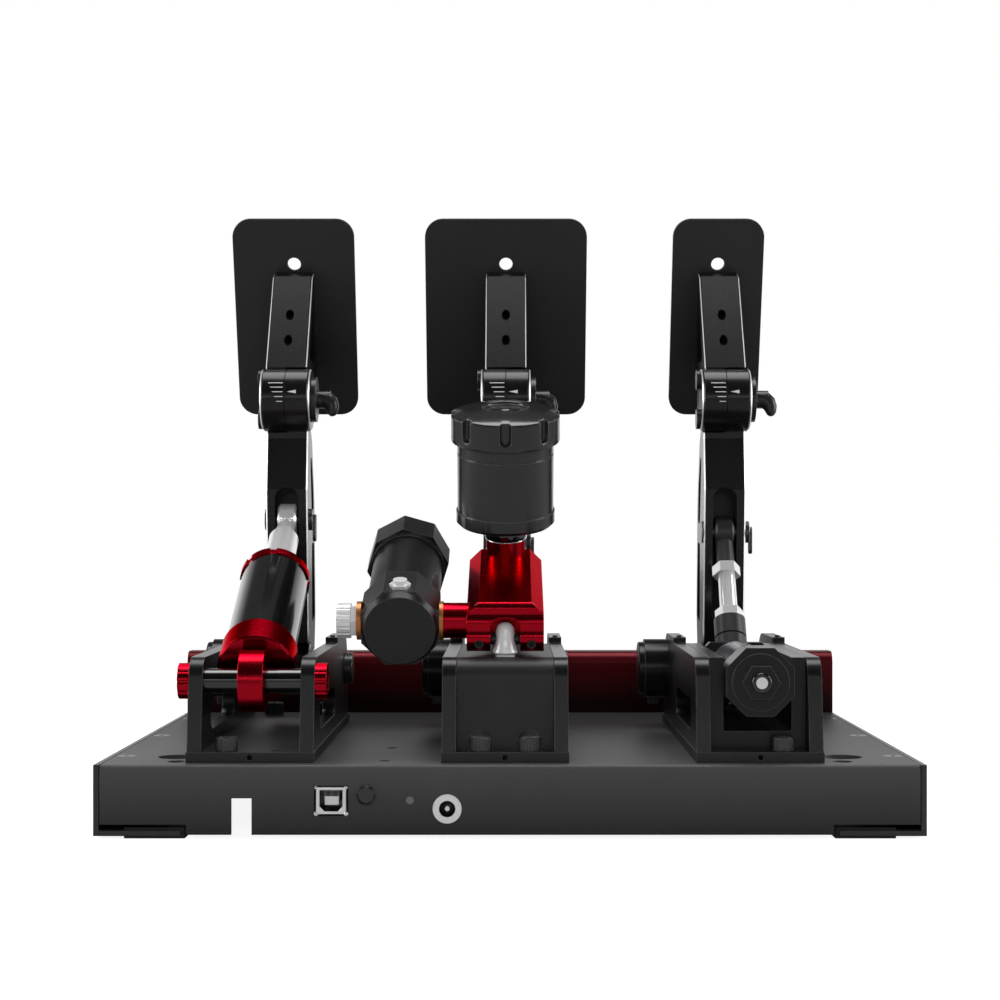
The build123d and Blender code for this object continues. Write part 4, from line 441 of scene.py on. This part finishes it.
# Graduation marks on a knuckle: five lines that get shorter downwards, and a pointer
def knuckle_marks(pedal):
    middle_x, centre_y, centre_z = joints[f"{pedal}_tilt"]["pos_m"]
    radius = 15.25 * MM
    proud = 0.04 * MM
    half_line = 0.2 * MM
    half_pointer = 0.85 * MM
    pointer_height = 2.9 * MM

    def on_rim(x, height):
        angle = height / radius
        return Vector((x, centre_y - (radius + proud) * cos(angle), centre_z + (radius + proud) * sin(angle)))

    start = middle_x - 0.7 * MM
    for step in range(5):
        line_length = (6.9 - 0.95 * step) * MM
        height = (7.4 - 2.3 * step) * MM
        corners = [on_rim(x, height + side * half_line) for side in (-1, 1) for x in (start - line_length, start)]
        piece_from(f"{pedal}_mark_{step}", corners, [(0, 1, 3, 2)], print_white, f"{pedal}_face")
    corners = [on_rim(middle_x + 1.4 * MM, pointer_height)]
    corners += [on_rim(middle_x + 5.6 * MM, pointer_height + side * half_pointer) for side in (-1, 1)]
    piece_from(f"{pedal}_pointer", corners, [(0, 1, 2)], print_white, f"{pedal}_lever")


for pedal in PEDALS:
    knuckle_marks(pedal)


# Cam lever that hangs from the end of a tilt screw: x, y, z and radius in mm, and lean in degrees
CAM_PATH = [(15.0, 0.0, 0.0, 4.0, 0.0), (17.5, -0.2, 0.0, 4.25, 0.0), (19.5, -0.6, -0.5, 4.2, 25.0),
            (21.0, -1.2, -1.9, 3.9, 50.0), (21.8, -2.0, -4.0, 3.3, 75.0), (22.0, -2.6, -6.0, 2.6, 88.0),
            (21.9, -3.0, -7.6, 1.7, 92.0), (21.8, -3.1, -8.2, 0.6, 92.0)]


def cam_lever(pedal):
    middle_x, centre_y, centre_z = joints[f"{pedal}_tilt"]["pos_m"]
    ring = 20
    angles = [2 * pi * step / ring for step in range(ring)]
    loops = []
    for x, y, z, radius, lean in CAM_PATH:
        heart = Vector((middle_x + x * MM, centre_y + y * MM, centre_z + z * MM))
        up = Vector((sin(radians(lean)), 0.0, cos(radians(lean))))
        loops.append([heart + radius * MM * (up * cos(angle) + Vector((0.0, sin(angle), 0.0))) for angle in angles])
    skinned(f"{pedal}_cam_lever", loops, screw_black, f"{pedal}_face", caps=(-1,), smooth=True)


for pedal in PEDALS:
    cam_lever(pedal)


# Knurling round the head of a bracket screw
def knurled_sleeve(name, x, y, low, high):
    """A toothed sleeve just outside a screw's head, with a plain bevelled rim at its top."""
    teeth = 30
    tooth_depth = 0.26
    plain_radius = 4.5
    rows = [(low, 4.35), (low + 0.3 * MM, 4.62), (high - 0.7 * MM, 4.62), (high - 0.35 * MM, 4.40), (high, 4.20)]
    loops = []
    for height, radius in rows:
        loop = []
        for step in range(2 * teeth):
            angle = pi * step / teeth
            reach = (radius - (tooth_depth if step % 2 and radius > plain_radius else 0.0)) * MM
            loop.append((x + reach * cos(angle), y + reach * sin(angle), height))
        loops.append(loop)
    skinned(name, loops, screw_black, "base")


# Sides of each base plate whose front screw gets a sleeve, and where the screws stand on the plate
HEAD_SIDES = {"throttle": (-1,), "brake": (-1, 1), "clutch": (1,)}
HEAD_OFF_CENTRE = 10.3 * MM
HEAD_FROM_FRONT = 6.5 * MM
HEAD_FROM_REAR = 10.0 * MM
SLEEVE_LOW = 0.1 * MM
SLEEVE_HIGH = 5.8 * MM
for pedal in PEDALS:
    plate_low, plate_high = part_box(f"{pedal}_base_plate")
    plate_x = (plate_low[0] + plate_high[0]) / 2
    head_low = plate_high[2] + SLEEVE_LOW
    head_high = plate_high[2] + SLEEVE_HIGH
    places = [(side, plate_low[1] + HEAD_FROM_FRONT) for side in HEAD_SIDES[pedal]]
    places += [(side, plate_high[1] - HEAD_FROM_REAR) for side in (-1, 1)]
    for index, (side, place_y) in enumerate(places):
        knurled_sleeve(f"{pedal}_knurl_{index}", plate_x + side * HEAD_OFF_CENTRE, place_y, head_low, head_high)


# Coil spring with closed ends, riding the base
def coil_spring():
    low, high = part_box("clutch_spring")
    wire = 1.7 * MM
    coil_radius = (high[0] - low[0]) / 2 - wire
    centre = ((low[0] + high[0]) / 2, (low[2] + high[2]) / 2)
    turns = 10
    steps_per_turn = 36
    ring = 12
    start = low[1] + wire
    run = high[1] - low[1] - 2 * wire
    closed = 2.15 * wire

    def rise(turn):
        """Closed turns at both ends, even pitch between them."""
        if turn < 1.0:
            return closed * turn
        if turn > turns - 1.0:
            return run - closed * (turns - turn)
        return closed + (run - 2 * closed) * (turn - 1.0) / (turns - 2.0)

    angles = [2 * pi * side / ring for side in range(ring)]
    loops = []
    for step in range(turns * steps_per_turn + 1):
        turn = step / steps_per_turn
        radial = Vector((cos(2 * pi * turn), 0.0, sin(2 * pi * turn)))
        heart = Vector((centre[0], start + rise(turn), centre[1])) + radial * coil_radius
        loops.append([heart + radial * wire * cos(angle) + Vector((0.0, wire * sin(angle), 0.0)) for angle in angles])
    piece = skinned("coil_spring", loops, spring_steel, "base", caps=(0, -1), smooth=True)
    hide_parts("clutch_spring")
    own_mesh(piece)


coil_spring()

# Grub screws in the red lug, each a dark ring with a socket
brake_middle_x = joints["brake_tilt"]["pos_m"][0]
master_axis = Vector((0.0, cos(MASTER_SLOPE), sin(MASTER_SLOPE)))
master_up = Vector((0.0, -sin(MASTER_SLOPE), cos(MASTER_SLOPE)))
lug_middle = Vector((brake_middle_x, -0.125, 0.078)) + master_axis * 5.6 * MM - master_up * 2.0 * MM
GRUB_OFF_CENTRE = 11.0 * MM
GRUB_PROFILE = [(2.05, 2.0), (2.05, 0.2), (1.8, 0.0), (1.15, 0.0), (1.05, 0.2), (1.0, 1.6), (0.01, 1.8)]
for index, side in enumerate((-1, 1)):
    spun(f"grub_screw_{index}", GRUB_PROFILE, lug_middle + Vector((side * GRUB_OFF_CENTRE, 0.0, 0.0)), master_axis,
         screw_black, "base")

# Data socket: bright frame with cut lower corners, dark inside, pale tongue with two contacts above it
data_middle = middle("data_socket")


def socket_skin(name, rows, material, shift=(0.0, 0.0), caps=()):
    """A skin over rectangles with cut lower corners: rows hold half width, half height, cut and y in mm."""
    loops = []
    for wide, tall, cut, y in rows:
        outline = [(-wide + cut, -tall), (wide - cut, -tall), (wide, -tall + cut),
                   (wide, tall), (-wide, tall), (-wide, -tall + cut)]
        loops.append([(data_middle[0] + (u + shift[0]) * MM, y * MM, data_middle[2] + (v + shift[1]) * MM)
                      for u, v in outline])
    return skinned(name, loops, material, "base", caps)


data_frame = socket_skin("data_socket_frame", [
    (6.1, 5.45, 0.5, -128.0), (6.1, 5.45, 0.5, -144.0), (5.9, 5.25, 0.5, -144.25),
    (4.9, 4.55, 2.0, -144.25), (4.7, 4.35, 2.0, -144.0), (4.7, 4.35, 2.0, -143.0)], steel)
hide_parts("data_socket")
socket_skin("data_socket_inside", [(4.7, 4.35, 2.0, -143.0), (4.5, 4.15, 2.0, -142.6), (4.4, 4.05, 2.0, -134.0)],
            gloss_black, caps=(-1,))
socket_skin("data_socket_gasket", [(6.0, 5.4, 0.5, -141.2), (7.6, 6.8, 0.5, -141.2), (7.6, 6.8, 0.5, -140.6)],
            rubber)
socket_skin("data_tongue", [(2.9, 1.8, 0.3, -134.0), (2.9, 1.8, 0.3, -143.0), (2.6, 1.5, 0.3, -143.3)],
            print_white, (0.2, 0.0), (-1,))
socket_skin("data_roof", [(3.3, 1.2, 0.2, -134.0), (3.3, 1.2, 0.2, -142.2), (3.1, 1.0, 0.2, -142.4)],
            dark_steel, (0.2, 3.0), (-1,))
for index, side in enumerate((-1, 1)):
    socket_skin(f"data_contact_{index}",
                [(0.65, 0.75, 0.1, -141.0), (0.65, 0.75, 0.1, -142.7), (0.50, 0.60, 0.1, -142.9)],
                gloss_black, (0.2 + side * 1.3, 2.7), (-1,))
    for level, (tab_rise, tab_radius) in enumerate(((-5.3, 0.95), (5.3, 0.7))):
        tab_place = (data_middle[0] + side * 6.1 * MM, -0.1440, data_middle[2] + tab_rise * MM)
        tab_profile = [(tab_radius, 1.5), (tab_radius, -0.2), (0.6 * tab_radius, -0.5), (0.01, -0.55)]
        spun(f"data_tab_{index}_{level}", tab_profile, tab_place, ALONG_Y, cut_edge, "base", 24)

# Mounting stud with its domed head, waist and flared foot, and the dark pin across it
stud_low, stud_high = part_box("mounting_stud")
stud_foot = Vector(((stud_low[0] + stud_high[0]) / 2, (stud_low[1] + stud_high[1]) / 2, stud_low[2]))
STUD_PROFILE = [(4.2, 0.0), (4.2, 1.15), (5.0, 1.25), (5.15, 1.6), (5.05, 2.3), (4.7, 3.3), (4.35, 4.6),
                (4.15, 6.2), (4.08, 8.0), (4.05, 9.8), (3.9, 11.2), (3.5, 12.5), (2.8, 13.5), (1.8, 14.1),
                (0.9, 14.35), (0.02, 14.4)]
PIN_HEIGHT = 7.6 * MM
PIN_PROFILE = [(0.02, 0.0), (1.7, 0.0), (2.0, 0.3), (2.0, 23.7), (1.7, 24.0), (0.02, 24.0)]
stud = spun("stud_dome", STUD_PROFILE, stud_foot, ALONG_Z, steel, "base")
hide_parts("mounting_stud")
spun("stud_pin", PIN_PROFILE, (stud_low[0], stud_foot[1], stud_low[2] + PIN_HEIGHT), ALONG_X,
     screw_black, "base")

# Dark fitting and polished ring under the reservoir, along its slanted axis
reservoir_axis = Vector((0.0, -0.2931, 0.9561))
neck_top = Vector((brake_middle_x, -0.06443, 0.12949))
spun("reservoir_fitting", [(8.3, 0.2), (9.1, 0.0), (9.1, -6.7), (8.9, -7.1), (8.3, -7.1)], neck_top,
     reservoir_axis, gloss_black, "base")
spun("neck_ring", [(8.3, -7.1), (8.85, -7.2), (8.85, -7.6), (8.3, -7.7)], neck_top,
     reservoir_axis, cut_edge, "base")

# Screw cap of the reservoir: radius and height in mm from its lower edge, over its dome into a rimmed recess
CAP_RADIUS = 23.97
CAP_PROFILE = [(21.6, 0.02), (23.2, 0.02), (23.75, 0.25)]
CAP_PROFILE += [(CAP_RADIUS, height) for height in (0.8, 2.2, 2.8, 3.0, 3.3, 3.7, 4.2, 4.8, 5.4, 6.5, 9.0, 11.2, 11.8)]
CAP_PROFILE += [(23.75, 12.2), (23.2, 12.5), (22.3, 12.85), (20.5, 13.4), (18.0, 14.0), (15.0, 14.6), (12.5, 15.0),
                (11.4, 15.15), (10.9, 15.32), (10.3, 15.32), (9.8, 15.1), (9.5, 14.6), (9.3, 14.2), (8.8, 14.12),
                (3.0, 14.12), (2.5, 14.4), (2.1, 14.55), (0.02, 14.6)]
CAP_NOTCHES = 8
NOTCH_HALF_WIDTH = 2.5
NOTCH_DEPTH = 2.2
NOTCH_ROUND_HEIGHT = 5.4
NOTCH_WALL_SHARE = 0.35
# Degrees from a notch's middle, close together over its walls
NOTCH_STEPS = (1.0, 2.0, 3.0, 3.7, 4.4, 5.0, 5.5, 5.97, 6.3, 7.0, 10.0, 16.0)


def notch_cut(offset, height):
    """How deep the cap is cut at an angle from a notch's middle, with a rounded lower end."""
    away = hypot(CAP_RADIUS * offset, max(0.0, NOTCH_ROUND_HEIGHT - height)) / NOTCH_HALF_WIDTH
    if away >= 1.0:
        return 0.0
    return NOTCH_DEPTH * sin(min(1.0, (1.0 - away) / NOTCH_WALL_SHARE) * pi / 2)


def notched_cap():
    place = Vector(joints["reservoir_cap_turn"]["pos_m"])
    axis = Vector(joints["reservoir_cap_turn"]["axis"]).normalized()
    if axis.z < 0:
        axis = -axis
    across = Vector(ALONG_X)
    front = across.cross(axis)
    own = nodes["reservoir_cap"]
    inside_rim = 23.0 * MM
    arms = [own.matrix_world @ vertex.co - place for vertex in own.data.vertices]
    low = min(arm.dot(axis) for arm in arms if (arm - arm.dot(axis) * axis).length > inside_rim)
    sector = 360.0 / CAP_NOTCHES
    offsets = [-sector / 2] + [-step for step in reversed(NOTCH_STEPS)] + [0.0] + list(NOTCH_STEPS)
    loops = []
    for radius, height in CAP_PROFILE:
        loop = []
        for notch in range(CAP_NOTCHES):
            for offset in offsets:
                reach = min(radius, CAP_RADIUS - notch_cut(radians(offset), height)) * MM
                angle = radians(notch * sector + offset)
                loop.append(place + (low + height * MM) * axis + reach * (front * cos(angle) + across * sin(angle)))
        loops.append(loop)
    cap = skinned("reservoir_screw_cap", loops, reservoir_black, "reservoir_cap", smooth=True)
    cap.data.set_sharp_from_angle(angle=radians(38.0))
    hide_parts("reservoir_cap")


notched_cap()

# Collar round the end of the guide shaft, and the rim round the push button
shaft_low, shaft_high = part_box("clutch_guide_shaft")
shaft_end = Vector(((shaft_low[0] + shaft_high[0]) / 2, shaft_low[1], (shaft_low[2] + shaft_high[2]) / 2))
spun("guide_shaft_collar", [(3.15, 1.6), (4.1, 1.5), (4.1, 0.3), (3.7, -0.1), (2.7, -0.15), (2.4, 0.0)],
     shaft_end, ALONG_Y, gloss_black, "clutch_slider")
button_low, button_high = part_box("pair_button")
button_front = Vector(((button_low[0] + button_high[0]) / 2, PANEL_Y, (button_low[2] + button_high[2]) / 2))
spun("button_rim", [(3.55, 0.4), (3.60, -0.25), (3.75, -0.35), (3.95, -0.25), (4.05, 0.1)],
     button_front, ALONG_Y, gloss_black, "base")

# Camera at the photograph's distance and height, square to the front panel
camera_data = bpy.data.cameras.new("camera")
camera_data.lens = 75.06
camera_data.sensor_width = 36.0
camera_data.shift_x = -0.010
camera_data.shift_y = 0.032
camera = bpy.data.objects.new("camera", camera_data)
camera.location = (0.0, -0.9938, 0.125)
camera.rotation_euler = (radians(90.0), 0.0, 0.0)
bpy.context.scene.collection.objects.link(camera)
bpy.context.scene.camera = camera


# Soft studio light: the front fill lights the blacks but isn't mirrored in them, and the strip is
def area_light(name, place, target, size, power):
    data = bpy.data.lights.new(name, "AREA")
    data.shape = "RECTANGLE"
    data.size, data.size_y = size
    data.energy = power
    light = bpy.data.objects.new(name, data)
    light.location = place
    light.rotation_euler = (Vector(target) - Vector(place)).to_track_quat("-Z", "Y").to_euler()
    bpy.context.scene.collection.objects.link(light)
    return light


area_light("key_top", (0.0, 0.10, 1.3), (0.0, 0.0, 0.1), (0.9, 0.7), 11.0)
area_light("left_side", (-1.2, -0.10, 0.50), (0.0, 0.0, 0.12), (0.5, 0.9), 8.0)
area_light("right_side", (1.2, -0.10, 0.50), (0.0, 0.0, 0.12), (0.5, 0.9), 8.0)
front_fill = area_light("front_fill", (0.0, -1.5, 0.55), (0.0, 0.0, 0.1), (1.0, 0.4), 7.0)
front_fill.visible_glossy = False
area_light("front_strip", (0.0, -1.6, 0.40), (0.0, 0.0, 0.1), (1.2, 0.12), 1.4)


# Floor and world: white where the camera sees them, with the object's shadow kept; metal and glass see a faintly
# glowing floor and a world dimmer towards the camera's side and overhead
def seen_rays(tree, path):
    """One for camera, glossy and transmission rays."""
    seen = math_node(tree, "MAXIMUM", path["Is Camera Ray"], path["Is Glossy Ray"])
    return math_node(tree, "MAXIMUM", seen, path["Is Transmission Ray"])


FLOOR_REACH = 6.0
GLOW_WHERE_SEEN = 0.10
GLOW_FOR_CAMERA = 0.80
SOFT_LIGHT = 0.30
FLOOR_CORNERS = [(-FLOOR_REACH, -FLOOR_REACH, 0), (FLOOR_REACH, -FLOOR_REACH, 0),
                 (FLOOR_REACH, FLOOR_REACH, 0), (-FLOOR_REACH, FLOOR_REACH, 0)]
floor_mesh = bpy.data.meshes.new("floor")
floor_mesh.from_pydata(FLOOR_CORNERS, [], [(0, 1, 2, 3)])
floor = bpy.data.objects.new("floor", floor_mesh)
floor.location = (0, 0, -0.0004)
bpy.context.scene.collection.objects.link(floor)

floor_material, floor_tree, floor_shader = new_material("floor_white")
floor_shader.inputs["Base Color"].default_value = (0.35, 0.35, 0.35, 1.0)
floor_shader.inputs["Roughness"].default_value = 0.9
floor_shader.inputs["Specular IOR Level"].default_value = 0.0
floor_shader.inputs["Emission Color"].default_value = (1.0, 1.0, 1.0, 1.0)
floor_path = floor_tree.nodes.new("ShaderNodeLightPath").outputs
floor_seen = math_node(floor_tree, "MULTIPLY", seen_rays(floor_tree, floor_path), GLOW_WHERE_SEEN)
floor_glow = math_node(floor_tree, "ADD", floor_seen,
                       math_node(floor_tree, "MULTIPLY", floor_path["Is Camera Ray"], GLOW_FOR_CAMERA))
floor_tree.links.new(floor_glow, floor_shader.inputs["Emission Strength"])
floor_mesh.materials.append(floor_material)

world = bpy.data.worlds.new("world")
world.use_nodes = True
bpy.context.scene.world = world
world_tree = world.node_tree
background = world_tree.nodes["Background"]
background.inputs["Color"].default_value = (1.0, 1.0, 1.0, 1.0)
world_axes = axes_of(world_tree, world_tree.nodes.new("ShaderNodeTexCoord").outputs["Generated"])
behind = spread(world_tree, world_axes["Y"], 0.07, 1.0, -0.85, 0.05)
ceiling = spread(world_tree, world_axes["Z"], 1.0, 0.10, 0.22, 0.55)
world_path = world_tree.nodes.new("ShaderNodeLightPath").outputs
seen = seen_rays(world_tree, world_path)
soft = math_node(world_tree, "MULTIPLY", math_node(world_tree, "SUBTRACT", 1.0, seen), SOFT_LIGHT)
mirrored = math_node(world_tree, "MULTIPLY", math_node(world_tree, "SUBTRACT", seen, world_path["Is Camera Ray"]),
                     math_node(world_tree, "MULTIPLY", behind, ceiling))
world_strength = math_node(world_tree, "ADD", soft,
                           math_node(world_tree, "ADD", world_path["Is Camera Ray"], mirrored))
world_tree.links.new(world_strength, background.inputs["Strength"])

scene = bpy.context.scene
scene.view_settings.view_transform = "Standard"
